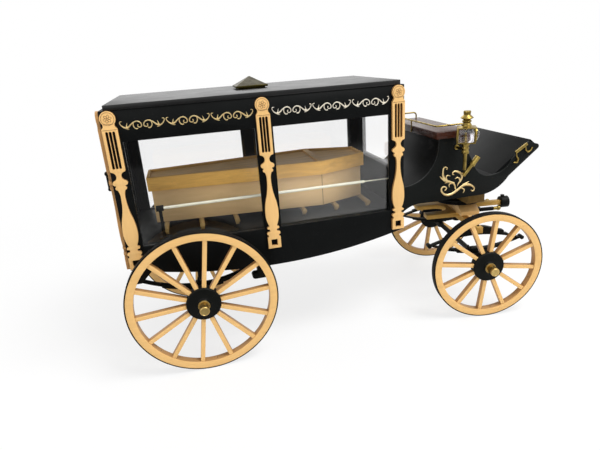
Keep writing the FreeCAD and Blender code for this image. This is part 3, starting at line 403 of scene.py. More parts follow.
def make_finishes():
    c = bpy.context.scene.hearse_colours
    # name, base, dark, streaks, waviness, pores, contrast, gloss, coat, sawn edges darkened as burnt wood and as
    # painted shade, shine
    wood("Varnished maple", c.maple, c.maple_dark, 520.0, 0.5, 0.25, 0.20, 0.42, 0.2, 0.8)
    wood("Wheel maple", c.maple, c.maple_dark, 520.0, 0.5, 0.25, 0.20, 0.42, 0.15, 0.8, 0.2)
    # a darker copy of the maple for the parts under the body: painted shade
    wood("Shaded underbody maple", (0.62, 0.38, 0.10), (0.24, 0.11, 0.025), 420.0, 0.7, 0.4, 0.4, 0.5, 0.0, 0.9, 0.12)
    # a much darker copy of the maple for the transom: painted shade under the box
    wood("Shaded transom maple", (0.20, 0.12, 0.03), (0.05, 0.026, 0.008), 420.0, 0.8, 0.5, 0.5, 0.5, 0.0, 0.8, 0.12)
    wood("Coffin boards", c.coffin, c.coffin_dark, 420.0, 0.8, 0.5, 0.35, 0.6, 0.0, 0.3, 0.1)
    wood("Coffin lid", c.lid, c.lid_dark, 380.0, 0.9, 0.5, 0.55, 0.6, 0.0, 0.3, 0.1)
    wood("Bench mahogany", c.mahogany, (0.02, 0.007, 0.005), 420.0, 0.6, 0.5, 0.6, 0.26, 0.20, 0.2, 0.1)
    wood("Roller wood", (0.40, 0.27, 0.10), (0.14, 0.08, 0.02), 420.0, 0.7, 0.4, 0.4, 0.4, 0.1, 0.6)
    # name, base, gloss, specular, worn edges, dust
    paint("Black lacquer", c.lacquer, 0.34, 0.05, (0.03, 0.03, 0.029), 0.03)
    paint("Satin panel", c.satin, 0.42, 0.08, (0.035, 0.036, 0.035), 0.03)
    paint("Roof paint", c.roofing, 0.34, 0.36, (0.04, 0.04, 0.039), 0.04)
    paint("Black iron", c.iron, 0.38, 0.07, (0.03, 0.028, 0.026), 0.03)
    # the brass rails as pale paint: a painted reflection of the white room in polished brass
    paint("Rail painted with reflection", (0.84, 0.82, 0.60), 0.3, 0.35, (0.92, 0.90, 0.74), 0.02)
    # the burnt lines of the pilasters' engraving, also used for the painted shadow line under the coffin's lid
    paint("Burnt line and painted shadow", (0.12, 0.035, 0.010), 0.6, 0.2, (0.16, 0.07, 0.03), 0.04)
    # name, base, tarnish, its share, gloss, reach of the rubbed edges, how much brighter they are
    aged_metal("Aged brass", c.brass, (0.13, 0.085, 0.022), 0.75, 0.26, 0.0004)
    aged_metal("Dark bronze", (0.050, 0.040, 0.010), (0.022, 0.018, 0.005), 0.6, 0.36, 0.0006, 7.0)
    aged_metal("Gilt", c.gilt, (0.66, 0.46, 0.20), 0.45, 0.42, 0.0003)
    aged_metal("Bright gilt", (1.0, 0.93, 0.78), (0.90, 0.78, 0.56), 0.4, 0.40, 0.0003)
    aged_metal("Nut brass", (0.62, 0.45, 0.17), (0.30, 0.20, 0.06), 0.5, 0.3, 0.0004)
    clear_pane("Window glass", (1.0, 1.0, 1.0), 0.0)
    clear_pane("Lamp glass", (0.98, 0.97, 1.0), 0.03)
    tyre_finish()


FINISH_OF_SLOT = {"black_panel": "Black lacquer", "dark_panel": "Satin panel", "maple": "Varnished maple",
                  "coffin_wood": "Coffin boards", "mahogany": "Bench mahogany", "aged_brass": "Aged brass",
                  "black_iron": "Black iron", "tyre_band": "Tyre band", "clear_glass": "Window glass"}


def finish(name):
    return bpy.data.materials[name]


# ---- pieces -----------------------------------------------------------------------------------
def link(name, data):
    piece = bpy.data.objects.new(name, data)
    bpy.context.scene.collection.objects.link(piece)
    return piece


def drop(piece):
    """Removes a piece with its mesh or curve."""
    data = piece.data
    store = bpy.data.meshes if isinstance(data, bpy.types.Mesh) else bpy.data.curves
    bpy.data.objects.remove(piece)
    store.remove(data)


def mesh_from(bm, name):
    """A bmesh written to a new mesh. The bmesh is freed."""
    mesh = bpy.data.meshes.new(name)
    bm.to_mesh(mesh)
    bm.free()
    return mesh


def mark_wood(mesh, along, sheet=None, offset=0.0):
    """Writes the "grain" vectors, whose X runs along the fibres, and "cut", 1 on edges across the sheet."""
    along = Vector(along).normalized()
    side = along.orthogonal().normalized()
    up = along.cross(side)
    grain = mesh.attributes.new("grain", "FLOAT_VECTOR", "POINT")
    for vertex, value in zip(mesh.vertices, grain.data):
        p = vertex.co
        value.vector = (p.dot(along) + offset, p.dot(side) + offset * 0.7, p.dot(up))
    mark_cut(mesh, sheet)


def mark_cut(mesh, sheet):
    cut = mesh.attributes.new("cut", "FLOAT", "FACE")
    if sheet is not None:
        sheet = Vector(sheet)
        for face, value in zip(mesh.polygons, cut.data):
            value.value = 1.0 - min(1.0, abs(face.normal.dot(sheet)) * 1.25)


def smooth(mesh, degrees=38.0):
    mesh.shade_smooth()
    mesh.set_sharp_from_angle(angle=math.radians(degrees))


def dress(piece, body, finish_name=None, stands_for=()):
    """Gives a finished piece its material, and lets it ride on its body."""
    if finish_name is not None:
        piece.data.materials.clear()
        piece.data.materials.append(finish(finish_name))
    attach(piece, body)
    if stands_for:
        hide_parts(*stands_for)


def place(piece, matrix):
    """Puts a piece's place into its mesh, so that its object stays at the origin."""
    piece.data.transform(matrix)
    if matrix.determinant() < 0:
        piece.data.flip_normals()
    return piece


def mirrored(name, piece):
    """A copy of a piece on the vehicle's other side."""
    return place(link(name, piece.data.copy()), MIRROR)


def plain_mesh(piece, name):
    """The piece with its modifiers worked out, as a new mesh object. The old one is removed."""
    graph = bpy.context.evaluated_depsgraph_get()
    mesh = bpy.data.meshes.new_from_object(piece.evaluated_get(graph), preserve_all_data_layers=True,
                                           depsgraph=graph)
    drop(piece)
    return link(name, mesh)


def merged_copy(node):
    """A CAD node's mesh as a bmesh, with its loose triangles joined into flat faces."""
    bm = bmesh.new()
    bm.from_mesh(frame["nodes"][node].data)
    bm.transform(frame["nodes"][node].matrix_world)
    bmesh.ops.remove_doubles(bm, verts=bm.verts, dist=2e-6)
    bmesh.ops.dissolve_limit(bm, angle_limit=math.radians(0.6), verts=bm.verts, edges=bm.edges)
    return bm


def piece_from(bm, name, round_mm=0.0):
    """A bmesh as a piece with its sharp edges rounded, shaded smooth."""
    piece = link(name + "_raw" if round_mm else name, mesh_from(bm, name))
    if round_mm:
        rounding = piece.modifiers.new("Rounded edges", "BEVEL")
        rounding.width = round_mm * MM
        rounding.segments = 2
        rounding.limit_method = "ANGLE"
        rounding.angle_limit = math.radians(32.0)
        rounding.use_clamp_overlap = True
        rounding.miter_outer = "MITER_ARC"
        piece = plain_mesh(piece, name)
    smooth(piece.data)
    return piece


def rounded_node(node, body, slot, round_mm, finish_name=None, grain=None):
    """A CAD node again, with its edges rounded."""
    piece = piece_from(merged_copy(node), node + "_dressed", round_mm)
    if grain is not None:
        # each board is cut from another part of the plank
        mark_wood(piece.data, grain, offset=(sum(map(ord, node)) % 17) * 0.013)
    dress(piece, body, finish_name or FINISH_OF_SLOT[slot], (node,))
    return piece


def around(radius, segments, height=0.0):
    """Points evenly round a circle about Z."""
    return [Vector((radius * math.cos(a), radius * math.sin(a), height))
            for a in (2 * math.pi * i / segments for i in range(segments))]


def lathe(profile, segments=32):
    """A turned bmesh about Z from (radius, height) pairs in millimetres, closed at both ends."""
    bm = bmesh.new()
    rings = [[bm.verts.new(spot * MM) for spot in around(radius, segments if radius else 1, height)]
             for radius, height in profile]
    for low, high in zip(rings, rings[1:]):
        for i in range(segments):
            j = (i + 1) % segments
            if len(high) == 1:
                bm.faces.new((low[i], low[j], high[0]))
            else:
                bm.faces.new((low[i], low[j], high[j], high[i]))
    for ring, flip in ((rings[0], True), (rings[-1], False)):
        if len(ring) > 1:
            bm.faces.new(ring[::-1] if flip else ring)
    bmesh.ops.recalc_face_normals(bm, faces=bm.faces)
    return bm


def block(bm, low, high):
    """Adds a box between two corners in millimetres, counted as at() does."""
    low, high = at(*low), at(*high)
    for vert in bmesh.ops.create_cube(bm, size=1.0)["verts"]:
        vert.co = Vector([low[i] if vert.co[i] < 0 else high[i] for i in range(3)])


def add_bm(target, source):
    """Joins one bmesh into another and frees it."""
    mesh = mesh_from(source, "joined")
    target.from_mesh(mesh)
    bpy.data.meshes.remove(mesh)


def traced(steps, arc_points=8):
    """Points along an outline. A step is (x, z) for a corner or (mid x, mid z, x, z) for an arc from the last."""
    points = [Vector(steps[0])]
    for step in steps[1:]:
        start, end = points[-1], Vector(step[-2:])
        if len(step) == 4:
            middle = Vector(step[:2])
            a, b = middle - start, end - start
            cross = 2 * (a.x * b.y - a.y * b.x)
            centre = start + Vector((b.y * a.length_squared - a.y * b.length_squared,
                                     a.x * b.length_squared - b.x * a.length_squared)) / cross
            first, over, last = (math.atan2(p.y - centre.y, p.x - centre.x) for p in (start, middle, end))
            sweep = (last - first) % (2 * math.pi)
            if (over - first) % (2 * math.pi) > sweep:
                sweep -= 2 * math.pi
            radius = (start - centre).length
            for i in range(1, arc_points):
                turn = first + sweep * i / arc_points
                points.append(centre + radius * Vector((math.cos(turn), math.sin(turn))))
        points.append(end)
    return points


def drawn(name, kind, paths, closed=False, **settings):
    """Paths of points in metres as one mesh, filled or swept as the curve's settings say. A fourth number is a
    path's width there."""
    curve = bpy.data.curves.new(name, "CURVE")
    for key, value in settings.items():
        setattr(curve, key, value)
    curve.bevel_resolution = 2
    for path in paths:
        spline = curve.splines.new(kind)
        spline.points.add(len(path) - 1)
        for point, spot in zip(spline.points, path):
            point.co = (*spot[:3], 1.0)
            point.radius = spot[3] if len(spot) > 3 else 1.0
        spline.use_cyclic_u = closed
        if kind == "NURBS":
            spline.order_u = 3
            spline.use_endpoint_u = True
    return plain_mesh(link(name + "_curve", curve), name)


def sawn_plate(name, loops, thickness, rounding):
    """A sheet sawn to closed outlines in the XZ plane, holes included, rounded all round. Its back is on y = 0
    and its face at y = -thickness. The outlines are in millimetres."""
    sheet = drawn(name, "POLY", [[(x * MM, z * MM, 0.0) for x, z in loop] for loop in loops], True,
                  dimensions="2D", fill_mode="BOTH", extrude=thickness / 2 - rounding, bevel_depth=rounding,
                  offset=-rounding)
    bm = bmesh.new()
    bm.from_mesh(sheet.data)
    drop(sheet)
    bmesh.ops.remove_doubles(bm, verts=bm.verts, dist=1e-6)
    bmesh.ops.dissolve_degenerate(bm, dist=1e-7, edges=bm.edges)
    bmesh.ops.recalc_face_normals(bm, faces=bm.faces)
    bm.transform(Matrix.Translation((0, -thickness / 2, 0)) @ Matrix.Rotation(math.radians(90), 4, "X"))
    return piece_from(bm, name)


def wires(name, paths, radius, closed=False):
    """Round wires along straight-jointed paths given in metres."""
    return drawn(name, "POLY", paths, closed, dimensions="3D", bevel_depth=radius, use_fill_caps=not closed)


def joined(name, pieces):
    """Several mesh pieces as one."""
    bm = bmesh.new()
    for piece in pieces:
        bm.from_mesh(piece.data)
        drop(piece)
    return piece_from(bm, name)


# ---- geometry node trees ----------------------------------------------------------------------
def geometry_tree(name, **inputs):
    return new_group(name, "GeometryNodeTree", {"Geometry": GEOMETRY}, **inputs, Material=MATERIAL)


def end_tree(tree, given, geometry):
    """Realizes the instances, sets the material and closes the tree."""
    real = geo(tree, "RealizeInstances", {0: geometry})
    painted = geo(tree, "SetMaterial", {"Geometry": real, "Material": given["Material"]})
    put(tree, "NodeGroupOutput", {0: painted})


def instances(tree, points, instance, **turn):
    """Copies of a geometry on points, turned by angles about x, y or z."""
    return geo(tree, "InstanceOnPoints", {
        "Points": points, "Instance": instance,
        "Rotation": put(tree, "FunctionNodeEulerToRotation", {0: xyz(tree, **turn)})})


def angle_step(tree, index_of):
    """Each copy's angle in a full turn shared out evenly."""
    return math_node(tree, "MULTIPLY", geo(tree, "InputIndex"), math_node(tree, "DIVIDE", 2 * math.pi, index_of))


def ring_tree():
    """Copies of one object evenly round a circle in the XZ plane, each turned to face outwards."""
    tree, given = geometry_tree("Ring of copies", Copy=OBJECT, Count=12, Radius=0.01, First_angle=0.0)
    turn = math_node(tree, "ADD", angle_step(tree, given["Count"]), given["First angle"])
    x, z = (math_node(tree, "MULTIPLY", math_node(tree, wave, turn), given["Radius"]) for wave in ("COSINE", "SINE"))
    points = geo(tree, "SetPosition", {"Geometry": geo(tree, "Points", {"Count": given["Count"]}),
                                       "Position": xyz(tree, x=x, z=z)})
    copy = geo(tree, "ObjectInfo", {"Object": given["Copy"]}).outputs["Geometry"]
    end_tree(tree, given, instances(tree, points, copy, y=math_node(tree, "MULTIPLY", turn, -1.0)))


def row_tree():
    """Copies of one object along a straight line from Start by Step."""
    tree, given = geometry_tree("Row of copies", Copy=OBJECT, Count=5, Start=VECTOR, Step=VECTOR)
    line = geo(tree, "MeshLine", {"Count": given["Count"], "Start Location": given["Start"],
                                  "Offset": given["Step"]})
    copy = geo(tree, "ObjectInfo", {"Object": given["Copy"]}).outputs["Geometry"]
    end_tree(tree, given, instances(tree, line, copy))


def wheel_tree():
    """Rim and tapered spokes about the Y axis, with the outer face at y = 0."""
    tree, given = geometry_tree(
        "Spoked wheel", Radius=0.049, Rim_depth=0.005, Width=0.0055, Spokes=14, Hub_radius=0.009,
        Spoke_depth=0.0032, Hub_width=0.0036, Rim_width=0.0029, Rounding=0.0003, First_spoke=0.0)

    def section(width, height):
        """A rectangle with rounded corners."""
        plain = geo(tree, "CurvePrimitiveQuadrilateral", {"Width": width, "Height": height}, mode="RECTANGLE")
        return geo(tree, "FilletCurve", {"Curve": plain, "Radius": given["Rounding"], "Limit Radius": True,
                                         "Count": 3}, mode="POLY")

    def with_grain(mesh):
        return geo(tree, "StoreNamedAttribute", {"Geometry": mesh, "Name": "grain",
                                                 "Value": geo(tree, "InputPosition")},
                   data_type="FLOAT_VECTOR", domain="POINT")

    middle = xyz(tree, y=math_node(tree, "MULTIPLY", given["Width"], 0.5))
    half_rim = math_node(tree, "MULTIPLY", given["Rim depth"], 0.5)
    circle = geo(tree, "CurvePrimitiveCircle", {
        "Resolution": 128, "Radius": math_node(tree, "SUBTRACT", given["Radius"], half_rim)}, mode="RADIUS")
    rim = geo(tree, "CurveToMesh", {"Curve": circle, "Profile Curve": section(given["Rim depth"], given["Width"])})
    # the rim is made about Z and laid over, and a spoke is made along X
    laid = geo(tree, "Transform", {"Geometry": rim, "Rotation": (math.radians(90), 0, 0), "Translation": middle})
    inner_radius = math_node(tree, "SUBTRACT", given["Radius"], given["Rim depth"])
    line = geo(tree, "CurvePrimitiveLine", {
        "Start": xyz(tree, x=given["Hub radius"]), "End": xyz(tree, x=math_node(tree, "ADD", inner_radius, 0.0006))})
    ratio = math_node(tree, "DIVIDE", given["Rim width"], given["Hub width"])
    tapered = geo(tree, "SetCurveRadius", {
        "Curve": geo(tree, "ResampleCurve", {"Curve": line, "Count": 10}),
        "Radius": spread(tree, geo(tree, "SplineParameter").outputs["Factor"], 1.0, ratio)})
    # the section's width lies along the axle and its height across the spoke's face
    spoke = geo(tree, "CurveToMesh", {"Curve": tapered, "Fill Caps": True,
                                      "Profile Curve": section(given["Spoke depth"], given["Hub width"])})
    turn = math_node(tree, "SUBTRACT", angle_step(tree, given["Spokes"]), given["First spoke"])
    points = geo(tree, "SetPosition", {"Geometry": geo(tree, "Points", {"Count": given["Spokes"]}),
                                       "Position": middle})
    # the fibres of each spoke run along it
    spokes = instances(tree, points, with_grain(spoke), y=turn)
    whole = geo(tree, "JoinGeometry")
    for part in (with_grain(laid), spokes):
        tree.links.new(part.outputs[0], whole.inputs[0])
    end_tree(tree, given, whole)


TREES = {"Ring of copies": ring_tree, "Row of copies": row_tree, "Spoked wheel": wheel_tree}


def grow(tree_name, name, finish_name, **values):
    """Runs a tree with these inputs, named with underscores for spaces, and returns the result as a piece."""
    if tree_name not in bpy.data.node_groups:
        TREES[tree_name]()
    tree = bpy.data.node_groups[tree_name]
    given = {key.replace("_", " "): value for key, value in values.items()}
    given["Material"] = finish(finish_name)
    carrier = link(name + "_carrier", bpy.data.meshes.new(name + "_carrier"))
    modifier = carrier.modifiers.new("Nodes", "NODES")
    modifier.node_group = tree
    for item in tree.interface.items_tree:
        if item.item_type == "SOCKET" and item.in_out == "INPUT" and item.name in given:
            modifier[item.identifier] = given[item.name]
    return plain_mesh(carrier, name)


def copies(tree_name, template, name, finish_name, **values):
    """Repeats a template object with one of the trees, and removes the template."""
    result = grow(tree_name, name, finish_name, Copy=template, **values)
    drop(template)
    smooth(result.data)
    return result


# ---- the operators, one for each piece or group of like pieces --------------------------------
class HEARSE_OT_panels(bpy.types.Operator):
    """Rounds the edges of the lacquered boards of the body and of the driver's box"""
    bl_idname = "hearse.panels"
    bl_label = "Lacquered panels"

    def execute(self, context):
        edge = sizes().panel_edge / MM
        for part in frame["record"]["subparts"]:
            node, slot = part["node"], part["material_slot"]
            if slot in ("black_panel", "dark_panel") and node not in ("rear_door", "roof_panel", "side_wall_left"):
                piece = rounded_node(node, BODY, slot, edge)
                if node == "side_wall_right":
                    dress(mirrored("side_wall_left_dressed", piece), BODY, None, ("side_wall_left",))
        rounded_node("roof_panel", BODY, "black_panel", edge, "Roof paint")
        return {"FINISHED"}


class HEARSE_OT_glazing(bpy.types.Operator):
    """The flat panes of the body and of the rear door"""
    bl_idname = "hearse.glazing"
    bl_label = "Window glass"

    def execute(self, context):
        for node, body in (("window_glass", BODY), ("rear_door_glass", DOOR)):
            panes = link(node + "_panes", mesh_from(merged_copy(node), node + "_panes"))
            dress(panes, body, "Window glass", (node,))
        return {"FINISHED"}


PILASTER_T = 2.0
# x, z of the sawn outline's right-hand edge, up from the foot; a mid point makes an arc
BALUSTER = (
    (4.4, 77.0), (4.4, 84.9), (3.5, 85.6), (3.5, 86.3), (3.6, 86.6), (4.5, 87.8, 3.2, 88.9), (2.3, 89.3),
    (2.3, 90.5), (3.0, 90.8), (4.05, 91.7, 3.1, 92.5), (2.5, 93.0), (3.8, 96.6, 4.4, 101.5),
    (4.1, 107.0, 2.8, 113.0), (1.65, 119.0, 1.3, 125.0), (1.5, 127.6, 2.2, 129.8), (3.35, 131.0, 2.75, 132.0),
    (2.75, 132.6), (4.4, 134.2, 3.2, 135.6), (1.5, 138.6, 4.15, 141.1), (4.45, 141.7), (4.45, 166.3),
    (3.3, 168.0), (3.3, 169.3), (4.45, 172.3, 0.0, 176.75))
ROSETTE_Z = 172.3
FLUTE_XS = (-1.95, 0.0, 1.95)
FLUTE_HALF_W = 0.77
FLUTE_Z = (142.7, 165.0)
FOOT_HOLE = (-2.1, 2.1, 79.0, 83.3)
# places of the pilasters: x along the sides, and y on the back
SIDE_XS = (-38.0, 52.5, 142.6)
REAR_Y = 39.8
# rings of a rosette: radius and number of points; the two cross lines' half widths and heights
ROSETTE_RINGS = ((3.65, 40), (0.55, 14))
CROSS_LINES = ((4.1, 165.9), (2.9, 169.2))
PETAL = ((0.45, 0.0), (1.35, 0.62, 2.4, 0.0), (1.35, -0.62, 0.45, 0.0))


def oblong(x0, x1, z0, z1):
    return [(x0, z0), (x1, z0), (x1, z1), (x0, z1)]


def round_ended(x, half, z0, z1):
    """A flute's outline: straight sides and rounded ends."""
    return traced([(x + half, z0 + half), (x + half, z1 - half), (x, z1, x - half, z1 - half),
                   (x - half, z0 + half), (x, z0, x + half, z0 + half)], 6)[:-1]


def pilaster_board():
    right = traced(BALUSTER, 10)
    outline = right + [Vector((-p.x, p.y)) for p in reversed(right[:-1])]
    holes = [round_ended(x, FLUTE_HALF_W, *FLUTE_Z) for x in FLUTE_XS]
    return sawn_plate("pilaster_board", [outline, oblong(*FOOT_HOLE)] + holes, PILASTER_T * MM,
                      sizes().wood_edge * 0.45)


def engraved_lines():
    """Burnt lines on a pilaster's face: rings and petals of the rosette and two cross lines."""
    def on_face(x, z):
        return Vector((x, -PILASTER_T, z)) * MM

    closed = [[on_face(p.x, ROSETTE_Z + p.y) for p in around(*ring)] for ring in ROSETTE_RINGS]
    petals = sizes().rosette_petals
    for i in range(petals):
        turn = Matrix.Rotation(2 * math.pi * (i + 0.25) / petals, 2)
        closed.append([on_face(p.x, ROSETTE_Z + p.y) for p in (turn @ q for q in traced(PETAL, 6)[:-1])])
    cross = [[on_face(-half, z), on_face(half, z)] for half, z in CROSS_LINES]
    radius = sizes().engraving
    return joined("engraved_lines", [wires("rosette_lines", closed, radius, True),
                                     wires("cross_lines", cross, radius)])


class HEARSE_OT_pilasters(bpy.types.Operator):
    """Sawn pilasters with engraved rosettes on both sides and on the back"""
    bl_idname = "hearse.pilasters"
    bl_label = "Pilasters and rosettes"

    def execute(self, context):
        turn_back = Matrix.Rotation(math.radians(-90), 4, "Z")
        side_y = box_mm("side_wall_right")[0][1]
        rear_x = box_mm("rear_frame")[1][0] - 3.0
        for make, label, finish_name in ((pilaster_board, "pilasters", "Varnished maple"),
                                         (engraved_lines, "pilaster_lines", "Burnt line and painted shadow")):
            row = copies("Row of copies", make(), "side_%s_right" % label, finish_name, Count=3,
                         Start=at(SIDE_XS[0], side_y, 0), Step=Vector(((SIDE_XS[2] - SIDE_XS[0]) / 2 * MM, 0, 0)))
            other = mirrored("side_%s_left" % label, row)
            back = copies("Row of copies", place(make(), turn_back), "rear_%s" % label, finish_name, Count=2,
                          Start=at(rear_x, -REAR_Y, 0), Step=Vector((0, 2 * REAR_Y * MM, 0)))
            for piece, sheet, node in ((row, (0, 1, 0), "side_pilasters"), (other, (0, 1, 0), "side_pilasters"),
                                       (back, (1, 0, 0), "rear_pilasters")):
                mark_wood(piece.data, (0, 0, 1), sheet)
                dress(piece, BODY, None, (node,) if label == "pilasters" else ())
        return {"FINISHED"}


def vine(name, stems):
    """Flat tapered stems in the XZ plane, their backs on y = 0. A stem is a list of (x, z, half width) in mm."""
    paths = [[(x * MM, 0.0, z * MM, half) for x, z, half in stem] for stem in stems]
    solid = drawn(name, "NURBS", paths, dimensions="3D", bevel_depth=MM, resolution_u=6, use_fill_caps=True)
    for vertex in solid.data.vertices:
        vertex.co.y *= sizes().scroll_thickness / (0.5 * MM)
    smooth(solid.data, 60)
    return solid


# left half of a frieze scroll, outwards from its middle: x, z and half width in millimetres
SCROLL_HALF = (
    ((-11.7, 2.8, 0.2), (-12.6, 3.0, 0.24), (-13.1, 2.1, 0.26), (-12.5, 0.8, 0.28), (-11.3, -0.5, 0.36),
     (-9.8, -1.2, 0.5), (-8.0, -0.5, 0.46), (-6.5, 1.0, 0.36), (-4.8, 2.1, 0.36), (-3.0, 2.5, 0.36),
     (-1.3, 1.7, 0.34), (-0.5, 0.2, 0.32), (-0.9, -1.0, 0.3), (-2.2, -1.3, 0.28), (-3.2, -0.5, 0.27),
     (-2.6, 0.5, 0.3)),
    ((-5.0, 1.9, 0.3), (-5.6, 0.6, 0.3), (-5.2, -1.1, 0.32), (-3.9, -2.3, 0.36), (-2.9, -1.7, 0.3)),
    ((-9.6, -0.9, 0.4), (-9.2, 0.3, 0.3), (-8.8, 1.8, 0.08)),
    ((-9.9, -1.2, 0.4), (-8.9, -1.9, 0.3), (-8.0, -1.7, 0.08)))
FRIEZE_Z = 167.0
FRIEZE_BAYS = (("rear", -32.6, 47.0, "Gilt"), ("front", 58.0, 137.0, "Bright gilt"))
SCROLL_LENGTH = 27.0

# the scroll on the driver's box, from a point on the panel: x, z and half width in millimetres
BOX_SCROLL_AT = (190.0, 100.0)
BOX_SCROLL = (
    ((5.1, -3.4, 0.9), (1.3, -5.6, 1.0), (-1.9, -6.6, 0.9), (-4.8, -6.3, 0.75), (-7.3, -4.6, 0.65),
     (-8.7, -2.3, 0.6), (-8.4, -0.2, 0.55), (-6.4, 0.6, 0.5), (-4.5, -0.4, 0.45), (-4.4, -2.0, 0.42),
     (-5.8, -2.5, 0.4)),
    ((0.6, -5.8, 0.8), (5.1, -3.4, 0.95), (7.8, -1.2, 0.8), (10.3, -0.3, 0.9), (13.9, -0.6, 0.95),
     (16.8, -1.8, 0.7), (18.8, -3.7, 0.5), (18.5, -5.8, 0.5), (16.7, -6.2, 0.42), (16.1, -4.8, 0.3)),
    ((8.9, -0.6, 0.8), (11.7, 1.0, 0.6), (14.0, 1.9, 0.1)),
    ((6.8, -2.0, 0.5), (9.9, -3.2, 0.5), (10.6, -4.8, 0.45), (9.5, -6.6, 0.1)),
    ((3.3, -3.9, 0.5), (2.5, 0.2, 0.6), (1.0, 2.4, 0.7), (-1.6, 3.4, 0.75), (-4.1, 4.3, 0.9), (-6.3, 5.9, 0.95),
     (-7.8, 9.1, 0.8), (-7.8, 11.7, 0.6), (-7.5, 14.3, 0.5), (-6.4, 15.2, 0.45), (-4.7, 14.8, 0.4),
     (-4.2, 13.6, 0.35), (-5.2, 13.2, 0.25)),
    ((-5.9, 4.9, 0.8), (-8.8, 6.9, 0.55), (-10.2, 8.8, 0.1)),
    ((-2.3, 4.1, 0.7), (-4.4, 3.2, 0.45), (-6.2, 3.2, 0.1)),
    ((-4.1, 4.7, 0.5), (-5.1, 6.8, 0.5), (-4.8, 8.4, 0.45), (-3.2, 8.8, 0.4), (-1.8, 7.9, 0.15)),
    ((1.7, 2.3, 0.6), (-1.5, 2.4, 0.45), (-2.8, 1.2, 0.42), (-1.9, -0.6, 0.12)),
    ((4.4, -0.4, 0.2), (5.1, 1.5, 0.4), (6.8, 3.1, 0.7), (8.0, 5.4, 0.75), (7.9, 7.9, 0.8), (6.0, 9.6, 0.8),
     (3.5, 10.8, 0.7), (1.4, 11.2, 0.55), (0.0, 10.1, 0.5), (0.3, 8.5, 0.42), (1.4, 8.6, 0.25)),
    ((6.6, 2.6, 0.6), (6.2, 4.8, 0.6), (4.9, 6.1, 0.5), (3.1, 6.0, 0.4), (2.3, 5.2, 0.15)),
    ((7.5, 7.1, 0.7), (8.4, 9.6, 0.1)))


class HEARSE_OT_frieze(bpy.types.Operator):
    """Gilt vine scrolls in a row above each side window"""
    bl_idname = "hearse.frieze"
    bl_label = "Frieze scrolls"

    def execute(self, context):
        y = box_mm("side_wall_right")[0][1]
        count = sizes().scrolls_per_bay
        for label, x0, x1, finish_name in FRIEZE_BAYS:
            pitch = (x1 - x0) / count
            stems = [[(way * x * pitch / SCROLL_LENGTH, z, w) for x, z, w in stem]
                     for way in (1, -1) for stem in SCROLL_HALF]
            row = copies("Row of copies", vine("scroll_unit", stems), "frieze_scrolls_%s_right" % label,
                         finish_name, Count=count, Start=at(x0 + pitch / 2, y, FRIEZE_Z),
                         Step=Vector((pitch * MM, 0, 0)))
            for piece in (row, mirrored("frieze_scrolls_%s_left" % label, row)):
                dress(piece, BODY)
        return {"FINISHED"}


class HEARSE_OT_box_scrolls(bpy.types.Operator):
    """The large gilt scroll on each side of the driver's box"""
    bl_idname = "hearse.box_scrolls"
    bl_label = "Driver's box scrolls"

    def execute(self, context):
        x, z = BOX_SCROLL_AT
        face = box_mm("driver_side_right")[0][1]
        right = place(vine("box_scroll_right", BOX_SCROLL), Matrix.Translation(at(x, face, z)))
        for piece in (right, mirrored("box_scroll_left", right)):
            dress(piece, BODY, "Gilt")
        return {"FINISHED"}


COFFIN_SHOULDER_X = 94.0
# half widths at the foot and at the head
LID_ENDS = (13.7, 13.0)
BOX_ENDS = (11.7, 11.0)
# the lid's rim, how deep its board is sunk, and its batten along x
LID_RIM = 2.2
LID_SUNK = 1.6
LID_BATTEN = (92.0, 96.2)


def coffin_outline(low, high, ends, z, inset=0.0):
    """The six corners of the coffin's box or lid at one height, drawn in by an inset."""
    right = [(low[0] + inset, ends[0] - inset), (COFFIN_SHOULDER_X, high[1] - inset),
             (high[0] - inset, ends[1] - inset)]
    return [at(x, -y, z) for x, y in right] + [at(x, y, z) for x, y in reversed(right)]


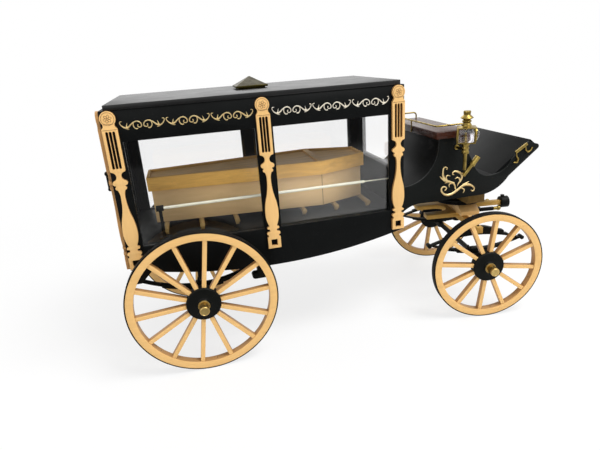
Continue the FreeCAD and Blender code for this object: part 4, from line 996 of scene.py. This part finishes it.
class HEARSE_OT_coffin(bpy.types.Operator):
    """The coffin with its darker lid, the rollers that it lies on, and the rails beside it"""
    bl_idname = "hearse.coffin"
    bl_label = "Coffin and rollers"

    def execute(self, context):
        rounded_node("coffin_box", BODY, "coffin_wood", 0.25, grain=(1, 0, 0))
        self.lid()
        rounded_node("bier_rollers", BODY, "maple", 0.3, "Roller wood", grain=(0, 1, 0))
        # brass rails in pale paint, a painted reflection of the white room
        rounded_node("coffin_rails", BODY, "aged_brass", 0.15, "Rail painted with reflection")
        rounded_node("rail_posts", BODY, "black_iron", 0.25)
        # dark shoulder joints, and a painted shadow line under the lid
        self.joints()
        return {"FINISHED"}

    @staticmethod
    def lid():
        """A board sunk inside a rim, with a batten across it at the shoulders."""
        low, high = box_mm("coffin_lid")
        sunk = high[2] - LID_SUNK
        bm = bmesh.new()
        rings = [[bm.verts.new(corner) for corner in coffin_outline(low, high, LID_ENDS, z, inset)]
                 for z, inset in ((low[2], 0.0), (high[2], 0.0), (high[2], LID_RIM), (sunk, LID_RIM))]
        for below, above in zip(rings, rings[1:]):
            for i in range(6):
                j = (i + 1) % 6
                bm.faces.new((below[i], below[j], above[j], above[i]))
        bm.faces.new(list(reversed(rings[0])))
        bm.faces.new(rings[-1])
        half = high[1] - LID_RIM - 0.7
        block(bm, (LID_BATTEN[0], -half, sunk - 0.3), (LID_BATTEN[1], half, high[2] - 0.05))
        bmesh.ops.recalc_face_normals(bm, faces=bm.faces)
        piece = piece_from(bm, "coffin_lid_dressed", 0.3)
        mark_wood(piece.data, (1, 0, 0), offset=0.05)
        dress(piece, BODY, "Coffin lid", ("coffin_lid",))

    @staticmethod
    def joints():
        """Dark lines: a painted shadow line under the lid's lap, and a dark joint down the shoulder of each side
        board.
        """
        low, high = box_mm("coffin_box")
        # a dark wire just under the lid's edge paints the shadow of the lid's lap
        lid_shadow_outline = coffin_outline(low, high, BOX_ENDS, high[2] - 0.15)
        shoulders = [[at(COFFIN_SHOULDER_X, y, z) for z in (low[2] + 0.2, high[2] - 0.3)]
                     for y in (-high[1], high[1])]
        lines = joined("coffin_joints", [wires("lid_line", [lid_shadow_outline], 0.22 * MM, True),
                                         wires("shoulder_joints", shoulders, 0.16 * MM)])
        dress(lines, BODY, "Burnt line and painted shadow")


class HEARSE_OT_finial(bpy.types.Operator):
    """The small bronze pyramid on the roof"""
    bl_idname = "hearse.finial"
    bl_label = "Roof finial"

    def execute(self, context):
        rounded_node("roof_finial", BODY, "aged_brass", 0.25, "Dark bronze")
        return {"FINISHED"}


class HEARSE_OT_driver_box(bpy.types.Operator):
    """Seat, seat rail, whip socket and grab rails"""
    bl_idname = "hearse.driver_box"
    bl_label = "Driver's box fittings"

    def execute(self, context):
        rounded_node("seat_board", BODY, "mahogany", 0.9, grain=(0, 1, 0))
        for node in ("seat_rail", "whip_socket", "grab_rails"):
            rounded_node(node, BODY, "aged_brass", 0.12)
        return {"FINISHED"}


class HEARSE_OT_lamp(bpy.types.Operator):
    """The carriage lamp with its glass and bracket"""
    bl_idname = "hearse.lamp"
    bl_label = "Carriage lamp"

    def execute(self, context):
        rounded_node("lamp_frames", BODY, "aged_brass", 0.12)
        rounded_node("lamp_glass", BODY, "clear_glass", 0.1, "Lamp glass")
        return {"FINISHED"}


# bolt heads in millimetres from the steering pin or from the rear axle: name, x, y and z places, way up, height
DOWN, UP, RIGHT, LEFT = (0, 0, -1), (0, 0, 1), (0, -1, 0), (0, 1, 0)
CLIP_YS = (-39.2, -34.8, 34.8, 39.2)
FRONT_BOLTS = (
    ("front_clip_nuts", (-4.2, 4.2), CLIP_YS, (47.5,), UP, 1.3),
    ("front_clip_bolts_below", (-1.2, 1.2), (-36.0, 36.0), (39.7,), DOWN, 1.2),
    ("spring_bar_bolts", (0,), (-40.5, -30.0, 30.0, 40.5), (66.5,), UP, 1.0))
REAR_BOLTS = (
    ("rear_clip_nuts", (2.4,), CLIP_YS, (57.2,), UP, 1.1),
    ("rear_clip_bolts_below", (-1.2, 1.2), (-36.0, 36.0), (48.0,), DOWN, 1.2),
    ("hanger_bolts_right", (42.4,), (-39.6,), (60.5, 66.0), RIGHT, 0.9),
    ("hanger_bolts_left", (42.4,), (39.6,), (60.5, 66.0), LEFT, 0.9))


def bolts(table, body, origin):
    """Six-sided bolt heads on washers."""
    radius = sizes().bolt_radius / MM
    for name, xs, ys, zs, up, height in table:
        turn = Vector((0, 0, 1)).rotation_difference(Vector(up)).to_matrix().to_4x4()
        bm = bmesh.new()
        for spot in ((x, y, z) for x in xs for y in ys for z in zs):
            bolt = lathe([(radius * 1.35, 0.0), (radius * 1.35, 0.18), (radius * 1.2, 0.26)], 20)
            add_bm(bolt, lathe([(radius, 0.2), (radius, height * 0.75), (radius * 0.82, height)], 6))
            bolt.transform(Matrix.Translation(Vector(spot) * MM) @ turn)
            add_bm(bm, bolt)
        dress(place(piece_from(bm, name), origin), body, "Black iron")


class HEARSE_OT_turntable(bpy.types.Operator):
    """The turntable, the transom above it and the king pin"""
    bl_idname = "hearse.turntable"
    bl_label = "Turntable"

    def execute(self, context):
        rounded_node("upper_turntable", BODY, "black_iron", 0.2)
        rounded_node("king_pin", BODY, "black_iron", 0.25)
        # the transom is maple in a darkened copy: painted shade under the box
        rounded_node("transom_bolster", BODY, "maple", 0.3, "Shaded transom maple", grain=(0, 1, 0))
        rounded_node("lower_turntable", FRONT, "black_iron", 0.2)
        return {"FINISHED"}


class HEARSE_OT_front_carriage(bpy.types.Operator):
    """Bolster, futchells, springs, axle and draw gear that turn with the front wheels"""
    bl_idname = "hearse.front_carriage"
    bl_label = "Front carriage"

    def execute(self, context):
        ahead = (math.cos(STEER), math.sin(STEER), 0)
        across = (-math.sin(STEER), math.cos(STEER), 0)
        # the futchells, spring bar and pole get the darker copy of the maple, painted shade under the body; the
        # bolster keeps the plain maple
        for node, grain in (("futchell_frame", ahead), ("spring_bar", across), ("pole_stub", ahead)):
            rounded_node(node, FRONT, "maple", 0.3, "Shaded underbody maple", grain=grain)
        rounded_node("front_bolster", FRONT, "maple", 0.3, grain=across)
        for node in ("front_springs", "front_axle", "draw_irons"):
            rounded_node(node, FRONT, "black_iron", 0.2)
        rounded_node("draw_eyes", FRONT, "aged_brass", 0.2)
        bolts(FRONT_BOLTS, FRONT, FRONT_PLACE)
        return {"FINISHED"}


class HEARSE_OT_rear_gear(bpy.types.Operator):
    """Rear axle, springs and hangers"""
    bl_idname = "hearse.rear_gear"
    bl_label = "Rear running gear"

    def execute(self, context):
        for node in ("rear_axle", "rear_springs", "rear_hangers"):
            rounded_node(node, BODY, "black_iron", 0.2)
        bolts(REAR_BOLTS, BODY, REAR_PLACE)
        return {"FINISHED"}


class HEARSE_OT_door(bpy.types.Operator):
    """The rear door with its handle"""
    bl_idname = "hearse.door"
    bl_label = "Rear door"

    def execute(self, context):
        rounded_node("rear_door", DOOR, "black_panel", sizes().panel_edge / MM)
        rounded_node("door_handle", DOOR, "black_iron", 0.15)
        return {"FINISHED"}


# end of the vehicle, over-tyre radius, half track to the outer faces, spokes, angle of the first spoke from
# forward up, and where the wheel's frame stands
WHEEL_ROWS = (("rear", 50.0, 57.7, 14, 4.5, REAR_PLACE), ("front", 41.7, 61.6, 12, 22.75, FRONT_PLACE))
TYRE_T = 0.8
NAIL_INSET = 5.0
NAIL_DEPTH = 2.75
SPOKE_START = 8.5
SPOKE_DEPTH = 4.2
# radius, height outwards from the wheel's outer face; a tyre's radii are counted from its own
TYRE_BAND = ((-0.85, -5.5), (-0.25, -5.5), (0.0, -5.2), (0.0, -0.3), (-0.25, 0.0), (-0.85, 0.0))
HUB_PROFILE = ((2.2, -5.5), (11.5, -5.5), (11.5, -4.4), (11.5, -1.0), (11.45, 0.2), (11.0, 0.75), (10.6, 0.8),
               (4.9, 0.8), (4.6, 1.0), (4.35, 2.0), (4.1, 2.2), (2.2, 2.2))
HUB_TAIL = ((2.2, -10.0), (4.6, -10.0), (4.6, -5.5), (2.2, -5.5))
NUT_PROFILE = ((2.2, 2.2), (3.9, 2.2), (3.95, 2.7), (3.8, 3.15), (3.6, 3.25), (3.35, 3.0), (3.1, 2.6), (2.75, 2.6),
               (2.75, 4.0), (3.15, 4.5), (3.2, 9.8), (3.1, 10.3), (2.8, 10.6), (2.5, 10.6), (2.4, 10.45), (0.0, 10.45))


class HEARSE_OT_wheels(bpy.types.Operator):
    """Spoked wheels with nailed rims, tyre bands, hubs and brass nuts"""
    bl_idname = "hearse.wheels"
    bl_label = "Wheels"

    def execute(self, context):
        for row in WHEEL_ROWS:
            for side, sign in (("right", 1), ("left", -1)):
                self.wheel(side, sign, *row)
        return {"FINISHED"}

    def wheel(self, side, sign, end, radius, half_track, spokes, first, base):
        name = "%s_%s" % (end, side)
        body = name + "_wheel_set"
        stand = base @ Matrix.Scale(sign, 4, (0, 1, 0)) @ Matrix.Translation((0, -half_track * MM, radius * MM))
        first = math.radians(first)
        wooden = grow("Spoked wheel", name + "_woodwork", "Wheel maple", Radius=(radius - TYRE_T) * MM,
                      Spokes=spokes, Hub_width=sizes().spoke_hub_width, Rim_width=sizes().spoke_rim_width,
                      Hub_radius=SPOKE_START * MM, First_spoke=first, Spoke_depth=SPOKE_DEPTH * MM)
        mark_cut(wooden.data, (0, 1, 0))
        smooth(wooden.data)
        dress(place(wooden, stand), body, None, (name + "_wheel",))
        hub = lathe(HUB_PROFILE, 48)
        add_bm(hub, lathe(HUB_TAIL, 32))
        for bm, label, slot, finish_name, node in (
                (self.band(radius), "_band", "tyre_band", "Tyre band", "_tyre"),
                (hub, "_hub_shell", "black_iron", "Black iron", "_hub"),
                (lathe(NUT_PROFILE), "_cap_nut", "aged_brass", "Nut brass", "_nut")):
            bm.transform(Matrix.Rotation(math.radians(90), 4, "X"))
            dress(place(piece_from(bm, name + label), stand), body, finish_name, (name + node,))
        nail = bmesh.new()
        bmesh.ops.create_uvsphere(nail, u_segments=8, v_segments=6, radius=sizes().nail_radius)
        bmesh.ops.scale(nail, vec=(0.5, 1, 1), verts=nail.verts)
        nails = copies("Ring of copies", piece_from(nail, "nail"), name + "_rim_nails", "Black iron",
                       Count=spokes // 2, Radius=(radius - TYRE_T - NAIL_INSET) * MM,
                       First_angle=first + math.pi / spokes)
        dress(place(nails, stand @ Matrix.Translation((0, NAIL_DEPTH * MM, 0))), body)

    @staticmethod
    def band(radius):
        """A tyre: an open ring made from a turned disc, without the disc's two faces."""
        band = lathe([(radius + inwards, height) for inwards, height in TYRE_BAND], 128)
        bmesh.ops.delete(band, geom=[f for f in band.faces if len(f.verts) > 8], context="FACES")
        bmesh.ops.bridge_loops(band, edges=[e for e in band.edges if e.is_boundary])
        bmesh.ops.recalc_face_normals(band, faces=band.faces)
        return band


# name, place, size across, share of the key's power
LAMPS = (("Key lamp", (0.45, -0.45, 1.15), 0.55, 8.5), ("Fill lamp", (-0.9, -0.7, 0.6), 0.8, 1.6),
         ("Back lamp", (0.1, 1.0, 0.9), 1.0, 2.5))
LAMP_AIM = Vector((0.0, 0.0, 0.08))
SENSOR_WIDTH = 36.0


class HEARSE_OT_stage(bpy.types.Operator):
    """Camera, floor, sky and lamps"""
    bl_idname = "hearse.stage"
    bl_label = "Stage"

    def execute(self, context):
        stage = context.scene.hearse_stage
        self.camera(context, stage)
        self.floor()
        self.sky(context, stage)
        for name, spot, size, share in LAMPS:
            data = bpy.data.lights.new(name, "AREA")
            data.size = size
            data.energy = stage.key_power * share
            lamp = link(name, data)
            lamp.location = spot
            lamp.rotation_euler = (LAMP_AIM - Vector(spot)).to_track_quat("-Z", "Y").to_euler()
        context.scene.view_settings.view_transform = "Standard"
        return {"FINISHED"}

    @staticmethod
    def camera(context, stage):
        data = bpy.data.cameras.new("Studio camera")
        data.sensor_width = SENSOR_WIDTH
        data.sensor_fit = "HORIZONTAL"
        data.lens = stage.lens
        data.clip_start = 0.01
        camera = link("Studio camera", data)
        # a camera looks along its own -Z: turned up from straight down, then round, then leaned about its axis
        turn = (Matrix.Rotation(-stage.heading, 4, "Z") @ Matrix.Rotation(math.radians(90) - stage.tilt, 4, "X")
                @ Matrix.Rotation(stage.roll, 4, "Z"))
        spot = Vector((REAR_X + stage.camera_along, -stage.camera_back, stage.camera_height))
        camera.matrix_world = Matrix.Translation(spot) @ turn
        context.scene.camera = camera

    @staticmethod
    def seen(tree, light):
        """1 where a surface is seen, straight, mirrored or through glass, and 0 where it only gives light."""
        seen = math_node(tree, "MAXIMUM", light["Is Camera Ray"], light["Is Glossy Ray"])
        return math_node(tree, "MAXIMUM", seen, light["Is Transmission Ray"])

    def floor(self):
        bm = bmesh.new()
        bmesh.ops.create_grid(bm, x_segments=2, y_segments=2, size=6.0)
        plane = piece_from(bm, "studio_floor")
        tree, surface = shader("Studio floor", Roughness=0.6, Specular_IOR_Level=0.1,
                               Base_Color=(0.96, 0.96, 0.96, 1.0))
        light = put(tree, "LightPath").outputs
        away = vector_node(tree, "LENGTH", object_vector(tree)).outputs["Value"]
        white_share = math_node(tree, "MULTIPLY", self.seen(tree, light), ranged(tree, away, 0.2, 0.55, 0.76, 1.0))
        table = put(tree, "MixShader", {0: white_share, 1: surface, 2: put(tree, "Emission", {"Strength": 1.0})})
        # the table ends in front and to the rear, and polished faces mirror a dim room beyond it
        place_on = put(tree, "SeparateXYZ", {0: object_vector(tree)}).outputs
        beyond = ranged(tree, place_on["Y"], -0.50, -0.80, 0.0, 0.96, "SMOOTHSTEP")
        behind = ranged(tree, place_on["X"], 0.05, -0.03, 0.0, 0.85, "SMOOTHSTEP")
        near = ranged(tree, place_on["Y"], -0.06, -0.22, 0.0, 1.0, "SMOOTHSTEP")
        dim = math_node(tree, "MAXIMUM", beyond, math_node(tree, "MULTIPLY", behind, near))
        # a ray that has only passed through glass sees the white floor
        turned = math_node(tree, "SUBTRACT", light["Ray Depth"], light["Transmission Depth"])
        mirrored_ray = math_node(tree, "MULTIPLY", math_node(tree, "MINIMUM", turned, 1.0), light["Is Glossy Ray"])
        dark = put(tree, "Emission", {"Color": (0.02, 0.02, 0.022, 1.0), "Strength": 1.0})
        surface_to_output(tree, put(tree, "MixShader", {0: math_node(tree, "MULTIPLY", dim, mirrored_ray),
                                                        1: table, 2: dark}))
        plane.data.materials.append(finish("Studio floor"))

    def sky(self, context, stage):
        world = bpy.data.worlds.new("Studio sky")
        context.scene.world = world
        world.use_nodes = True
        tree = world.node_tree
        tree.nodes.clear()
        strength = spread(tree, self.seen(tree, put(tree, "LightPath").outputs), stage.sky_level, 1.0)
        glow = put(tree, "Background", {"Color": (1.0, 1.0, 1.0, 1.0), "Strength": strength})
        put(tree, "OutputWorld", {"Surface": glow})


# ---- add-on registration ----------------------------------------------------------------------
OPERATORS = (HEARSE_OT_panels, HEARSE_OT_glazing, HEARSE_OT_pilasters, HEARSE_OT_frieze, HEARSE_OT_box_scrolls,
             HEARSE_OT_coffin, HEARSE_OT_finial, HEARSE_OT_driver_box, HEARSE_OT_lamp, HEARSE_OT_turntable,
             HEARSE_OT_front_carriage, HEARSE_OT_rear_gear, HEARSE_OT_door, HEARSE_OT_wheels, HEARSE_OT_stage)


class HEARSE_PT_sidebar(bpy.types.Panel):
    """Lists the hearse's operators and settings"""
    bl_idname = "HEARSE_PT_sidebar"
    bl_label = "Model hearse"
    bl_space_type = "VIEW_3D"
    bl_region_type = "UI"
    bl_category = "Hearse"

    def draw(self, context):
        for operator in OPERATORS:
            self.layout.operator(operator.bl_idname)
        for group in (context.scene.hearse_sizes, context.scene.hearse_colours, context.scene.hearse_stage):
            column = self.layout.column()
            for prop in group.bl_rna.properties:
                if prop.identifier not in ("rna_type", "name"):
                    column.prop(group, prop.identifier)


CLASSES = (HearseSizes, HearseColours, HearseStage) + OPERATORS + (HEARSE_PT_sidebar,)


def register():
    for cls in CLASSES:
        bpy.utils.register_class(cls)
    bpy.types.Scene.hearse_sizes = PointerProperty(type=HearseSizes)
    bpy.types.Scene.hearse_colours = PointerProperty(type=HearseColours)
    bpy.types.Scene.hearse_stage = PointerProperty(type=HearseStage)


def unregister():
    for name in ("hearse_sizes", "hearse_colours", "hearse_stage"):
        delattr(bpy.types.Scene, name)
    for cls in reversed(CLASSES):
        bpy.utils.unregister_class(cls)


def main():
    register()
    make_finishes()
    for operator in OPERATORS:
        group, name = operator.bl_idname.split(".")
        getattr(getattr(bpy.ops, group), name)()


if __name__ == "__main__":
    main()
